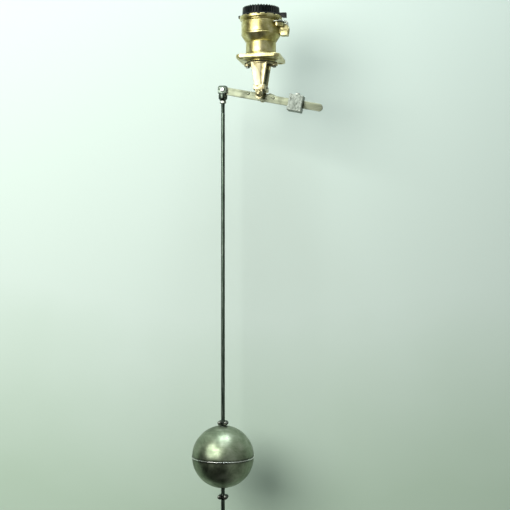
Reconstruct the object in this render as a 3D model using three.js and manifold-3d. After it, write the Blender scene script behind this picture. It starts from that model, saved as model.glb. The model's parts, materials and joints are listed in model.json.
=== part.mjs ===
// Float valve for a liquid tank: a bronze pilot head on a square flange, a fulcrum bracket under it,
// a counterweighted lever with a magnet arm, and a ball float that slides on a rod between two stops.
// Units are millimetres, +Z is up. The origin is the centre of the flange's underside, X runs along
// the lever towards the counterweight, and the front of the valve faces -Y.
import * as THREE from "three";
import { mergeVertices } from "three/addons/utils/BufferGeometryUtils.js";
import Module from "manifold-3d";

const wasm = await Module();
wasm.setup();

// ---------------------------------------------------------------- driving dimensions
const GAP = 0.3; // clearance between pieces that touch
const ROUND = 32; // sides of a large round piece
const MIDDLE = 20; // sides of a collar, a boss or a washer
const FINE = 12; // sides of a pin or a screw

const FLANGE = { side: 92, thick: 8, corner: 12, boltSpacing: 70, boltRadius: 4.5 };
const SPIGOT = { radius: 30, drop: 3 };
const BODY = { lower: 31.5, upper: 41, coneStart: 39, coneEnd: 54, neckTop: 82, shelf: 88 };
const RIM = { radius: 44.4, inner: 42, bottom: 84.5, top: 91.4 };
const CHAMBER = { floor: 1.5, lower: 23.5, upper: 34, coneStart: 40, coneEnd: 56 };
const CAP = { radius: 38.6, flange: 41.7, flangeTop: 93.4, top: 110.5, ribs: 24, ribDepth: 1.2, wall: 4 };
const OUTLET = { z: 62, bore: 5.5, start: 41.5, end: 58, halfWidth: 8.5, bottom: 50.6, top: 74.5 };
const DISC = { radius: 14.5, reach: 41.5, azimuth: -24, bottom: 74.8, top: 77.2 };
const CAP_EAR = { right: 54, rightHalf: 4.6, rightTop: 99, left: -47.5, leftHalf: 3.6, leftTop: 96, lip: 46 };
const STRAP = { left: 42, right: 57, half: 6.5, thick: 2.4, top: 80.8, legThick: 2.6, hole: 48 };
const LOCK_SCREW = { radius: 1.8, head: 3.6, tip: 70, headHeight: 2.2, hole: 2.1 };

const BRACKET = { top: -4.8, ringDrop: 3.7, legTopWidth: 35, legBottomWidth: 18, legBottom: -57 };
const LEG = { outer: 26, thick: 6, recess: 2.4, rim: 3.6 };
const BRIDGE = { top: -52, bottom: -63, halfWidth: 12.2, slotHalf: 9.6, slotNear: -3, slotFar: 7 };
const LUG = { halfWidth: 7.5, near: 17, far: 25, bottom: -83 };
const EAR = { x: 28, radius: 7.5, bottom: -11, screw: 2.2 };
const FRAME_RING = { inner: 23, outer: 29 }; // the bracket's top ring and its seal
const STOP_SCREW = { z: -56, y: 2, radius: 1.5, head: 2.8, headHeight: 2.2 };

const PIVOT_Z = -71.5; // height of the lever's pivot
const TILT = 11.4; // degrees the lever leans at rest, right end low
const BAR = { half: 8, thick: 4, drop: 4, right: 133 };
const ARM = { near: 2.3, thick: 3, width: 10, foot: 37.6, footTop: 5.2, tip: 59.2 };
const PIN = { pivot: 3, clevis: 2.5, groove: 0.9, clevisGroove: 0.8 };
const DRIVE_MAGNET = { radius: 6, bottom: 60.8, top: 65 };
const WEIGHT = { at: 76, length: 30, height: 35, depth: 30, chamfer: 1.6, screw: 2.5 };

const FLOAT = { x: -81.2, z: -828.7, radius: 65, wall: 1.2, seam: 67.2, seamHalf: 1.2 };
const ROD = { radius: 4, bottom: -975, holeGap: 2.4 };
const CLEVIS = { z: -58, top: -49.5, half: 9.7, depth: 6.6, groove: -67, slot: -72, bottom: -81 };
const STOP = { lobe: 5, lobeAt: 5.8, waist: 6.4, screwAt: 6.6, screw: 1.2, head: 3.4, slit: 0.5 };
const STOP_SIZE = { height: 11, depth: 12, upper: -752.6, lower: -908 };
const GUIDE = { bore: 4.6, outer: 6, boss: 9, bossThick: 3.2 };

const ROCKER = { z: 28, arm: 22, finger: 14, fingerRadius: 1.5, lean: 12, pin: 2, magnet: 4.5 };
const BLOCK = { left: -6, right: 22, half: 10, bottom: 42.3, top: 60, stemX: 14, portZ: 56 };
const CAGE = { left: -18, right: 18, half: 13, sheet: 2, shelfTop: 42, cheekHalf: 7, shelfLeft: -9 };
const CAGE_SCREW = { x: 16, radius: 1.2, head: 2.4, hole: 1.7, headHeight: 1.6 };
const BLOCK_SCREW = { x: -3, y: 6, radius: 1.4, head: 2.6, tip: 36.5, headHeight: 2 };
const SPRING = { turns: 3, radius: 3.4, wire: 0.45, bottom: 52.9, height: 5.9 };
const TUBE = { outer: 2.4, inner: 1.5 };

// ---------------------------------------------------------------- materials
const material = (color, roughness, metalness) =>
  new THREE.MeshStandardMaterial({ color, roughness, metalness });
const bronze = () => material(0xb9ad66, 0.38, 1);
const paleBronze = () => material(0xd8c890, 0.45, 1);
const steel = () => material(0xa9ada6, 0.35, 1);
const brightSteel = () => material(0xd5d8d2, 0.22, 1);
const castIron = () => material(0x9b9f96, 0.7, 0.6);
const blackPlastic = () => material(0x101312, 0.45, 0);
const rubber = () => material(0x1b1b1a, 0.85, 0);
const magnetGrey = () => material(0x54585a, 0.4, 0.9);
const brass = () => material(0xc8a850, 0.35, 1);

// ---------------------------------------------------------------- shape tools
const radians = THREE.MathUtils.degToRad;

/** A closed geometry as a solid that can be joined and cut. */
function solid(geometry) {
  const bare = geometry.index ? geometry.toNonIndexed() : geometry.clone();
  bare.deleteAttribute("normal");
  bare.deleteAttribute("uv");
  const merged = mergeVertices(bare, 1e-4);
  return new wasm.Manifold(new wasm.Mesh({
    numProp: 3,
    vertProperties: new Float32Array(merged.attributes.position.array),
    triVerts: new Uint32Array(merged.index.array),
  }));
}

/** The geometry of a solid. */
function geometryOf(shape) {
  const mesh = shape.getMesh();
  const geometry = new THREE.BufferGeometry();
  geometry.setAttribute("position", new THREE.BufferAttribute(mesh.vertProperties, 3));
  geometry.setIndex(new THREE.BufferAttribute(mesh.triVerts, 1));
  geometry.computeVertexNormals();
  return geometry;
}

/** A box between two corners. */
function box([x0, y0, z0], [x1, y1, z1]) {
  const shape = new THREE.BoxGeometry(x1 - x0, y1 - y0, z1 - z0);
  return solid(shape.translate((x0 + x1) / 2, (y0 + y1) / 2, (z0 + z1) / 2));
}

/** A body of revolution about a vertical axis, from (radius, height) points given upwards. */
function turned(points, sides = ROUND) {
  const profile = points.map(([r, z]) => new THREE.Vector2(r, z));
  return solid(new THREE.LatheGeometry(profile, sides).rotateX(Math.PI / 2));
}

/** A vertical cylinder. */
function post(radius, bottom, top, sides = FINE) {
  return turned([[0, bottom], [radius, bottom], [radius, top], [0, top]], sides);
}

/** A vertical ring. */
function ring(inner, outer, bottom, top, sides = ROUND) {
  const profile = [[inner, bottom], [outer, bottom], [outer, top], [inner, top], [inner, bottom]];
  return turned(profile, sides);
}

/** Lays a vertical shape along X, its foot at the given start. */
const alongX = (shape, x, y, z) => shape.rotate([0, 90, 0]).translate([x, y, z]);

/** Lays a vertical shape along Y, its foot at the given start. */
const alongY = (shape, x, y, z) => shape.rotate([-90, 0, 0]).translate([x, y, z]);

/** A plate whose outline is drawn in the X-Z plane, between two Y faces. */
function uprightPlate(points, near, far, holes = []) {
  const outline = new THREE.Shape(points.map(([x, z]) => new THREE.Vector2(x, z)));
  for (const [x, z, radius] of holes) {
    const hole = new THREE.Path();
    hole.absarc(x, z, radius, 0, 2 * Math.PI, true);
    outline.holes.push(hole);
  }
  const options = { depth: far - near, bevelEnabled: false, curveSegments: 8 };
  return solid(new THREE.ExtrudeGeometry(outline, options).rotateX(Math.PI / 2).translate(0, far, 0));
}

/** Points of an arc in degrees, for an outline. */
function arc(x, z, radius, from, to, steps = 8) {
  return Array.from({ length: steps + 1 }, (_, i) => {
    const angle = radians(from + ((to - from) * i) / steps);
    return [x + radius * Math.cos(angle), z + radius * Math.sin(angle)];
  });
}

/** A screw along +Z: a shank from the tip, then a head with a driver slot. */
function screw(shank, head, tip, seat, headHeight, sides = FINE) {
  const top = seat + headHeight;
  const blank = turned(
    [[0, tip], [shank, tip], [shank, seat], [head, seat], [head, top - 0.5], [head - 0.5, top], [0, top]],
    sides,
  );
  return blank.subtract(box([-head - 1, -0.5, top - headHeight * 0.45], [head + 1, 0.5, top + 1]));
}

const group = new THREE.Group();
group.name = "float_valve";

function add(name, shape, look, parent = group) {
  const mesh = new THREE.Mesh(geometryOf(shape), look);
  mesh.name = name;
  parent.add(mesh);
}

// ---------------------------------------------------------------- head
/** The square flange with rounded corners and four bolt holes. */
function flange() {
  const half = FLANGE.side / 2;
  const inset = half - FLANGE.corner;
  const corners = [[inset, inset, 0], [-inset, inset, 90], [-inset, -inset, 180], [inset, -inset, 270]];
  const outline = corners.flatMap(([x, y, from]) => arc(x, y, FLANGE.corner, from, from + 90, 4));
  const shape = new THREE.Shape(outline.map(([x, y]) => new THREE.Vector2(x, y)));
  const options = { depth: FLANGE.thick, bevelEnabled: false };
  let plate = solid(new THREE.ExtrudeGeometry(shape, options));
  for (const x of [-1, 1]) {
    for (const y of [-1, 1]) {
      const bolt = post(FLANGE.boltRadius, -1, FLANGE.thick + 1);
      plate = plate.subtract(bolt.translate([x * FLANGE.boltSpacing / 2, y * FLANGE.boltSpacing / 2, 0]));
    }
  }
  return plate;
}

/** The crescent plan that the lock disc and its pad share. */
function discBlank(radius, bottom, top) {
  const angle = radians(DISC.azimuth);
  return post(radius, bottom, top, ROUND)
    .translate([DISC.reach * Math.cos(angle), DISC.reach * Math.sin(angle), 0]);
}

/** Where the lock disc's screw stands. */
function discScrewPlace() {
  const angle = radians(DISC.azimuth);
  const reach = BODY.upper + 6.5;
  return [reach * Math.cos(angle), reach * Math.sin(angle), 0];
}

function valveBody() {
  const outside = turned([
    [0, -SPIGOT.drop], [SPIGOT.radius, -SPIGOT.drop], [SPIGOT.radius, 1],
    [BODY.lower + 2.5, 1], [BODY.lower + 2.5, FLANGE.thick + 1.5], [BODY.lower, FLANGE.thick + 4],
    [BODY.lower, BODY.coneStart], [BODY.upper, BODY.coneEnd], [BODY.upper, BODY.neckTop],
    [BODY.upper - 1.5, BODY.neckTop + 1], [BODY.upper - 1.5, RIM.bottom], [RIM.radius - 1.5, RIM.bottom],
    [RIM.radius, RIM.bottom + 2], [RIM.radius, RIM.top], [0, RIM.top],
  ]);
  const inside = turned([
    [0, CHAMBER.floor], [CHAMBER.lower, CHAMBER.floor], [CHAMBER.lower, CHAMBER.coneStart],
    [CHAMBER.upper, CHAMBER.coneEnd], [CHAMBER.upper, BODY.shelf], [RIM.inner, BODY.shelf],
    [RIM.inner, RIM.top + 1], [0, RIM.top + 1],
  ]);
  const bossHalf = OUTLET.halfWidth + 1.5;
  const boss = box(
    [BODY.lower, -bossHalf, OUTLET.bottom + 3],
    [BODY.upper + GAP, bossHalf, OUTLET.top - 3],
  );
  const besideBlock = box([OUTLET.start - GAP, -OUTLET.halfWidth - GAP, 40], [80, 30, 90]);
  const discPad = discBlank(DISC.radius - 2.5, 68, OUTLET.top).subtract(besideBlock);
  let body = outside.add(flange()).add(boss).add(discPad);
  body = body.subtract(inside);
  body = body.subtract(alongX(post(OUTLET.bore + 1, 0, 30), 20, 0, OUTLET.z));
  body = body.subtract(post(LOCK_SCREW.hole, 66, 80).translate(discScrewPlace()));
  for (const side of [-1, 1]) {
    body = body.subtract(post(EAR.screw + GAP, -10, 5).translate([side * EAR.x, 0, 0]));
    body = body.subtract(post(1.5, -1, CHAMBER.floor + 1).translate([side * CAGE_SCREW.x, 0, 0]));
  }
  const slotFloor = BODY.shelf - 0.6;
  const rightHalf = CAP_EAR.rightHalf + 1.4;
  const leftHalf = CAP_EAR.leftHalf + 1.4;
  return body
    .subtract(box([40, -rightHalf, slotFloor], [52, rightHalf, 100]))
    .subtract(box([-52, -leftHalf, slotFloor], [-40, leftHalf, 100]));
}

/** The ribbed cap: a flange that sits inside the rim, a grip above it and two ears out through the rim. */
function coverCap() {
  const seat = BODY.shelf + 2;
  const grip = [];
  const valley = CAP.radius - CAP.ribDepth;
  const tooth = [[0, CAP.radius], [0.55, CAP.radius], [0.65, valley], [0.9, valley]];
  for (let i = 0; i < CAP.ribs; i += 1) {
    for (const [share, radius] of tooth) {
      const angle = (2 * Math.PI * (i + share)) / CAP.ribs;
      grip.push(new THREE.Vector2(radius * Math.cos(angle), radius * Math.sin(angle)));
    }
  }
  const foot = CAP.flangeTop - 1;
  const options = { depth: CAP.top - foot, bevelEnabled: false };
  const blank = new THREE.ExtrudeGeometry(new THREE.Shape(grip), options).translate(0, 0, foot);
  const { right, rightHalf, rightTop, left, leftHalf, leftTop, lip } = CAP_EAR;
  const root = CAP.radius - 2;
  return solid(blank).add(post(CAP.flange, seat, CAP.flangeTop, ROUND))
    .subtract(post(CAP.radius - CAP.wall, 80, CAP.top - CAP.wall, ROUND))
    .add(box([root, -rightHalf, seat], [right, rightHalf, rightTop]))
    .add(box([lip, -rightHalf, seat - 1.4], [right, rightHalf, rightTop]))
    .add(box([left, -leftHalf, seat], [-root, leftHalf, leftTop]));
}

function coverGasket() {
  return ring(CHAMBER.upper + 1, RIM.inner - GAP, BODY.shelf + GAP, BODY.shelf + 2 - GAP, ROUND);
}

function outletBlock() {
  const block = box(
    [OUTLET.start + 2 * GAP, -OUTLET.halfWidth, OUTLET.bottom],
    [OUTLET.end, OUTLET.halfWidth, OUTLET.top],
  );
  const notch = box([STRAP.right - STRAP.legThick - GAP, -20, OUTLET.z + 9], [70, 20, 90]);
  const face = -OUTLET.halfWidth;
  const seam = box([40, face - 1, OUTLET.z - 0.4], [70, face + 0.8, OUTLET.z + 0.6]);
  const lip = alongX(ring(OUTLET.bore, OUTLET.bore + 2.4, 0, 2.4, 24), OUTLET.end - 1, 0, OUTLET.z);
  return block.subtract(notch).subtract(seam)
    .subtract(alongX(post(OUTLET.bore, 0, 40), 30, 0, OUTLET.z)).add(lip)
    .subtract(alongX(post(OUTLET.bore, 0, 40, 24), 30, 0, OUTLET.z))
    .subtract(post(LOCK_SCREW.hole, LOCK_SCREW.tip - 0.5, 90).translate([STRAP.hole, 0, 0]));
}

function lockDisc() {
  const clear = post(BODY.upper + GAP, 60, 90, ROUND);
  return discBlank(DISC.radius, DISC.bottom, DISC.top).subtract(clear)
    .subtract(post(LOCK_SCREW.hole, 60, 90).translate(discScrewPlace()));
}

/** A bent strap over the outlet block. */
function lockStrap() {
  const { left, right, half, thick, top, legThick, hole } = STRAP;
  const bar = box([left, -half, top - thick], [right, half, top]);
  const leg = box([right - legThick, -half, OUTLET.z + 9 + GAP], [right, half, top]);
  return bar.add(leg).subtract(post(LOCK_SCREW.hole, 60, 90).translate([hole, 0, 0]));
}

/** A lock screw whose head stands on a face at the given height. */
function lockScrew(seat) {
  return screw(LOCK_SCREW.radius, LOCK_SCREW.head, LOCK_SCREW.tip, seat + GAP, LOCK_SCREW.headHeight);
}

add("valve_body", valveBody(), bronze());
add("cover_cap", coverCap(), blackPlastic());
add("cover_gasket", coverGasket(), rubber());
add("outlet_block", outletBlock(), bronze());
add("lock_disc", lockDisc(), brightSteel());
add("lock_disc_screw", lockScrew(DISC.top).translate(discScrewPlace()), brightSteel());
add("lock_strap", lockStrap(), brightSteel());
add("lock_strap_screw", lockScrew(STRAP.top).translate([STRAP.hole, 0, 0]), brightSteel());

// ---------------------------------------------------------------- fulcrum bracket
/** One tapered leg with a sunk channel down its outer face; side is -1 in front and 1 behind. */
function bracketLeg(side) {
  const top = BRACKET.legTopWidth / 2;
  const foot = BRACKET.legBottomWidth / 2;
  const outline = [
    [-foot, BRIDGE.bottom], [foot, BRIDGE.bottom], [foot, BRACKET.legBottom],
    [top, BRACKET.top], [-top, BRACKET.top], [-foot, BRACKET.legBottom],
  ];
  const floor = BRACKET.legBottom + 3;
  const rim = LEG.rim;
  const channel = [[-foot + rim, floor], [foot - rim, floor], [top - rim - 1, -12], [-top + rim + 1, -12]];
  const near = side < 0 ? -LEG.outer : LEG.outer - LEG.thick;
  const cutNear = side < 0 ? -LEG.outer - 1 : LEG.outer - LEG.recess;
  const face = side * LEG.outer;
  const slot = box([-3.5, face - 5.5, floor], [3.5, face + 5.5, floor + 3]);
  return uprightPlate(outline, near, near + LEG.thick)
    .subtract(uprightPlate(channel, cutNear, cutNear + LEG.recess + 1)).subtract(slot);
}

function pivotLug(side) {
  const outline = [
    [LUG.halfWidth, BRIDGE.bottom + 2], [-LUG.halfWidth, BRIDGE.bottom + 2],
    ...arc(0, LUG.bottom + LUG.halfWidth, LUG.halfWidth, 180, 360, 10),
  ];
  const near = side < 0 ? -LUG.far : LUG.near;
  return uprightPlate(outline, near, near + LUG.far - LUG.near, [[0, PIVOT_Z, PIN.pivot + GAP]]);
}

function fulcrumBracket() {
  let shape = ring(FRAME_RING.inner, FRAME_RING.outer, BRACKET.top - BRACKET.ringDrop, BRACKET.top);
  for (const side of [-1, 1]) {
    const ear = post(EAR.radius, EAR.bottom, BRACKET.top).translate([side * EAR.x, 0, 0]);
    shape = shape.add(ear).add(bracketLeg(side)).add(pivotLug(side));
  }
  const depth = LEG.outer - 1;
  shape = shape.add(box([-BRIDGE.halfWidth, -depth, BRIDGE.bottom], [BRIDGE.halfWidth, depth, BRIDGE.top]));
  shape = shape.subtract(box(
    [-BRIDGE.slotHalf, BRIDGE.slotNear, BRIDGE.bottom - 5],
    [BRIDGE.slotHalf, BRIDGE.slotFar, BRIDGE.top + 5],
  ));
  const between = LEG.outer - LEG.thick;
  const clear = post(FRAME_RING.inner - 0.1, BRACKET.top - 20, 0, ROUND);
  shape = shape.subtract(clear.intersect(box([-30, -between, -30], [30, between, 0])));
  for (const side of [-1, 1]) {
    shape = shape.subtract(post(EAR.screw + GAP, -20, 0).translate([side * EAR.x, 0, 0]));
  }
  return shape.subtract(alongX(post(STOP_SCREW.radius + GAP, -20, 20), 0, STOP_SCREW.y, STOP_SCREW.z));
}

function bracketGasket() {
  const bottom = BRACKET.top + GAP;
  const top = -SPIGOT.drop - GAP;
  let seal = ring(FRAME_RING.inner, FRAME_RING.outer, bottom, top, ROUND);
  for (const side of [-1, 1]) {
    seal = seal.add(post(EAR.radius - 1, bottom, top).translate([side * EAR.x, 0, 0]));
  }
  for (const side of [-1, 1]) {
    seal = seal.subtract(post(EAR.screw + GAP, -20, 5).translate([side * EAR.x, 0, 0]));
  }
  return seal;
}

function stopScrew(side) {
  const blank = screw(STOP_SCREW.radius, STOP_SCREW.head, -3.7, 0, STOP_SCREW.headHeight);
  const tipped = blank.rotate([0, side * 90, 0]);
  return tipped.translate([side * (BRIDGE.halfWidth + GAP), STOP_SCREW.y, STOP_SCREW.z]);
}

add("fulcrum_bracket", fulcrumBracket(), paleBronze());
add("bracket_gasket", bracketGasket(), rubber());

/** A bracket screw, driven upwards through its ear into the head. */
function bracketScrew(side) {
  const bolt = screw(EAR.screw, 4.2, -15, 0, 3).rotate([180, 0, 0]);
  return bolt.translate([side * EAR.x, 0, EAR.bottom - GAP]);
}

for (const [side, name] of [[-1, "left"], [1, "right"]]) {
  add(`bracket_screw_${name}`, bracketScrew(side), steel());
  add(`stop_screw_${name}`, stopScrew(side), steel());
}

/** The pivot pin lies along Y with a domed head in front and a groove for its clip behind. */
function pivotPin() {
  const head = LUG.far + 1 + GAP;
  const pin = turned([
    [0, -head - 7], [4, -head - 6.4], [6.2, -head - 4], [7, -head - 1.5], [7, -head], [PIN.pivot, -head],
    [PIN.pivot, LUG.far + 3], [PIN.pivot - PIN.groove, LUG.far + 3], [PIN.pivot - PIN.groove, LUG.far + 4.2],
    [PIN.pivot, LUG.far + 4.2], [PIN.pivot, LUG.far + 6], [0, LUG.far + 6],
  ], MIDDLE);
  return alongY(pin, 0, 0, PIVOT_Z);
}

function pivotClip() {
  const clip = ring(PIN.pivot - PIN.groove + GAP, 5.4, LUG.far + 3.2, LUG.far + 4, MIDDLE);
  return alongY(clip.subtract(box([-1.2, 0, LUG.far], [1.2, 10, LUG.far + 10])), 0, 0, PIVOT_Z);
}

/** A washer or spacer on the pivot pin, between two Y faces. */
function pivotRing(outer, near, far) {
  return alongY(ring(PIN.pivot + GAP, outer, near, far, MIDDLE), 0, 0, PIVOT_Z);
}

const barFront = -BAR.thick / 2 - GAP;
const armBack = ARM.near + ARM.thick + GAP;
add("pivot_pin", pivotPin(), brightSteel());
add("pivot_clip", pivotClip(), steel());
add("pivot_washer_front", pivotRing(7, -LUG.far - 1, -LUG.far - GAP), steel());
add("pivot_washer_rear", pivotRing(6, LUG.far + GAP, LUG.far + 1.4), steel());
add("pivot_spacer_front", pivotRing(5, -LUG.near + GAP, barFront), brass());
add("pivot_spacer_rear", pivotRing(5, armBack, LUG.near - GAP), brass());

// ---------------------------------------------------------------- lever
// The lever is drawn level, with the pivot at its own origin, and the group turns it to its rest tilt.
const lever = new THREE.Group();
lever.position.set(0, 0, PIVOT_Z);
lever.rotation.y = radians(TILT);
group.add(lever);

/** The clevis pin's place along the level lever. */
const LEAN = radians(TILT);
const PIN_U = FLOAT.x * Math.cos(LEAN) - (CLEVIS.z - PIVOT_Z) * Math.sin(LEAN);
const PIN_V = (CLEVIS.z - PIVOT_Z) * Math.cos(LEAN) + FLOAT.x * Math.sin(LEAN);
const BAR_V = -BAR.drop; // the bar's centre line lies below the pivot
const RIVETS = [-27, 27];
const RIVET = { radius: 1.6, hole: 1.9, head: 3.2, rise: 3 };

function leverBar() {
  const outline = [
    ...arc(PIN_U, BAR_V, BAR.half, 90, 270, 10),
    ...arc(BAR.right - BAR.half, BAR_V, BAR.half, -90, 90, 10),
  ];
  const holes = [[0, 0, PIN.pivot + GAP], [PIN_U, PIN_V, PIN.clevis + GAP]];
  for (const u of RIVETS) holes.push([u, BAR_V + RIVET.rise, RIVET.hole]);
  return uprightPlate(outline, -BAR.thick / 2, BAR.thick / 2, holes);
}

/** The inverted T behind the bar: a foot along the bar and an arm that reaches up under the head. */
function magnetArm() {
  const half = ARM.width / 2;
  const outline = [
    [-ARM.foot, BAR_V - 2], [ARM.foot, BAR_V - 2], [ARM.foot, BAR_V + BAR.half - 1], [20, 8], [17, 8],
    [14, ARM.footTop], [half, ARM.footTop], [half, 22], [half + 1, 25], [half + 1, ARM.tip],
    [-half - 1, ARM.tip], [-half - 1, 25], [-half, 22], [-half, ARM.footTop],
    [-ARM.foot, BAR_V + BAR.half],
  ];
  const holes = [[0, 0, PIN.pivot + GAP]];
  for (const u of RIVETS) holes.push([u, BAR_V + RIVET.rise, RIVET.hole]);
  return uprightPlate(outline, ARM.near, ARM.near + ARM.thick, holes);
}

function rivet(u) {
  const { radius, head, rise } = RIVET;
  const shank = turned([
    [0, barFront - 1.6], [2, barFront - 1.3], [head, barFront], [radius, barFront],
    [radius, armBack], [head, armBack], [2, armBack + 1.3], [0, armBack + 1.6],
  ], FINE);
  return alongY(shank, u, 0, BAR_V + rise);
}

function magnetHolder() {
  const { radius, bottom } = DRIVE_MAGNET;
  const block = box([-7, -6.5, ARM.tip - 4.2], [7, 6.8, bottom + 1.2]);
  const half = ARM.width / 2 + 1 + GAP;
  const seat = box([-half, ARM.near - GAP, 50], [half, armBack, ARM.tip + GAP]);
  return block.subtract(seat).subtract(post(radius + GAP, bottom - GAP, 70, 24));
}

add("lever_bar", leverBar(), steel(), lever);
add("magnet_arm", magnetArm(), steel(), lever);
add("arm_rivet_left", rivet(RIVETS[0]), steel(), lever);
add("arm_rivet_right", rivet(RIVETS[1]), steel(), lever);
add("magnet_holder", magnetHolder(), brass(), lever);
const driveMagnet = post(DRIVE_MAGNET.radius, DRIVE_MAGNET.bottom, DRIVE_MAGNET.top, 24);
add("drive_magnet", driveMagnet, magnetGrey(), lever);

// ---------------------------------------------------------------- counterweight
function counterweight() {
  const half = WEIGHT.length / 2;
  const tall = WEIGHT.height / 2;
  const flat = half - WEIGHT.chamfer;
  const side = tall - WEIGHT.chamfer;
  const outline = [
    [-flat, -tall], [flat, -tall], [half, -side], [half, side],
    [flat, tall], [-flat, tall], [-half, side], [-half, -side],
  ].map(([u, v]) => [WEIGHT.at + u, BAR_V + v]);
  const slack = 0.4;
  const passage = box(
    [WEIGHT.at - 40, -BAR.thick / 2 - slack, BAR_V - BAR.half - slack],
    [WEIGHT.at + 40, BAR.thick / 2 + slack, BAR_V + BAR.half + slack],
  );
  return uprightPlate(outline, -WEIGHT.depth / 2, WEIGHT.depth / 2).subtract(passage)
    .subtract(post(WEIGHT.screw + GAP, BAR_V + BAR.half, 60).translate([WEIGHT.at, 0, 0]));
}

/** The set screw presses on the bar's top edge; its square head stands above the block. */
function counterweightScrew() {
  const seat = BAR_V + WEIGHT.height / 2;
  const shank = post(WEIGHT.screw, BAR_V + BAR.half + GAP, seat + 1);
  return shank.add(box([-3.5, -3.5, seat + GAP], [3.5, 3.5, seat + 4])).translate([WEIGHT.at, 0, 0]);
}

add("counterweight", counterweight(), castIron(), lever);
add("counterweight_screw", counterweightScrew(), steel(), lever);

// ---------------------------------------------------------------- rod, clevis and stops
/** The fork is square where it holds the bar and round where it holds the rod. */
function clevisFork() {
  const { half, depth, groove, top, bottom } = CLEVIS;
  const square = box([-half, -depth, groove], [half, depth, top]);
  const collar = half - 0.4;
  const neck = half - 1.2;
  const base = turned([
    [0, bottom], [5.5, bottom], [collar, bottom + 4.6], [collar, groove - 1],
    [neck, groove - 1], [neck, groove + 1], [0, groove + 1],
  ], MIDDLE);
  const corner = 3;
  const rounded = uprightPlate([
    [-half, bottom - 5], [half, bottom - 5],
    ...arc(half - corner, top - corner, corner, 0, 90, 4),
    ...arc(-half + corner, top - corner, corner, 90, 180, 4),
  ], -20, 20);
  const slotHalf = BAR.thick / 2 + 0.4;
  const slot = box([-20, -slotHalf, CLEVIS.slot], [20, slotHalf, top + 5]);
  return square.add(base).intersect(rounded).subtract(slot)
    .subtract(alongY(post(PIN.clevis + GAP, -20, 20), 0, 0, CLEVIS.z))
    .subtract(post(ROD.radius + GAP, bottom - 5, CLEVIS.slot - ROD.holeGap, MIDDLE))
    .translate([FLOAT.x, 0, 0]);
}

function clevisPin() {
  const face = CLEVIS.depth + GAP;
  const pin = turned([
    [0, -face - 2.6], [3, -face - 2.6], [4.4, -face - 1.6], [4.4, -face], [PIN.clevis, -face],
    [PIN.clevis, face + 1], [PIN.clevis - PIN.clevisGroove, face + 1],
    [PIN.clevis - PIN.clevisGroove, face + 2.2],
    [PIN.clevis, face + 2.2], [PIN.clevis, face + 4], [0, face + 4],
  ], MIDDLE);
  return alongY(pin, FLOAT.x, 0, CLEVIS.z);
}

function clevisClip() {
  const face = CLEVIS.depth + GAP;
  const clip = ring(PIN.clevis - PIN.clevisGroove + GAP, 4.6, face + 1.2, face + 2, MIDDLE);
  return alongY(clip.subtract(box([-1, 0, face], [1, 9, face + 5])), FLOAT.x, 0, CLEVIS.z);
}

function floatRod() {
  const top = CLEVIS.slot - ROD.holeGap - 0.4;
  return turned([
    [0, ROD.bottom], [ROD.radius - 1, ROD.bottom], [ROD.radius, ROD.bottom + 1],
    [ROD.radius, top], [0, top],
  ], MIDDLE).translate([FLOAT.x, 0, 0]);
}

/** A six-sided nut that locks the rod in the fork. */
function lockNut() {
  const height = 5;
  const bottom = CLEVIS.bottom - GAP - height;
  const bore = post(ROD.radius + GAP, bottom - 1, bottom + height + 1, MIDDLE);
  const nut = post(7, bottom, bottom + height, 6).subtract(bore);
  return nut.translate([FLOAT.x, 0, 0]);
}

/** A split clamp on the rod: a waist round the rod with a lobe on each side for its screw. */
function stopClamp(top) {
  const middle = top - STOP_SIZE.height / 2;
  const depth = STOP_SIZE.depth / 2;
  const lobe = (x) => alongY(post(STOP.lobe, -depth, depth, MIDDLE), x, 0, middle);
  let clamp = post(STOP.waist, top - STOP_SIZE.height, top, MIDDLE);
  clamp = clamp.add(lobe(-STOP.lobeAt)).add(lobe(STOP.lobeAt));
  clamp = clamp.subtract(post(ROD.radius + GAP, top - 20, top + 20, MIDDLE));
  for (const side of [-1, 1]) {
    clamp = clamp.subtract(alongY(post(STOP.screw + GAP, -20, 20), side * STOP.screwAt, 0, middle));
  }
  const slit = box([0, -STOP.slit, top - 20], [20, STOP.slit, top + 20]);
  return clamp.subtract(slit).translate([FLOAT.x, 0, 0]);
}

/** A clamp screw, its slotted head in front. */
function clampScrew(top, side) {
  const seat = -STOP_SIZE.depth / 2 - GAP;
  const blank = turned([
    [0, seat - 2.4], [STOP.head - 0.6, seat - 2.4], [STOP.head, seat - 1.8], [STOP.head, seat],
    [STOP.screw, seat], [STOP.screw, STOP_SIZE.depth / 2], [0, STOP_SIZE.depth / 2],
  ], 14).subtract(box([-4, -0.5, seat - 3], [4, 0.5, seat - 1.3]));
  return alongY(blank, FLOAT.x + side * STOP.screwAt, 0, top - STOP_SIZE.height / 2);
}

add("clevis_fork", clevisFork(), steel());
add("clevis_pin", clevisPin(), brightSteel());
add("clevis_clip", clevisClip(), steel());
add("clevis_lock_nut", lockNut(), steel());
add("float_rod", floatRod(), steel());
for (const [name, top] of [["upper", STOP_SIZE.upper], ["lower", STOP_SIZE.lower]]) {
  add(`${name}_stop_clamp`, stopClamp(top), steel());
  add(`${name}_stop_screw_left`, clampScrew(top, -1), brightSteel());
  add(`${name}_stop_screw_right`, clampScrew(top, 1), brightSteel());
}

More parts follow.
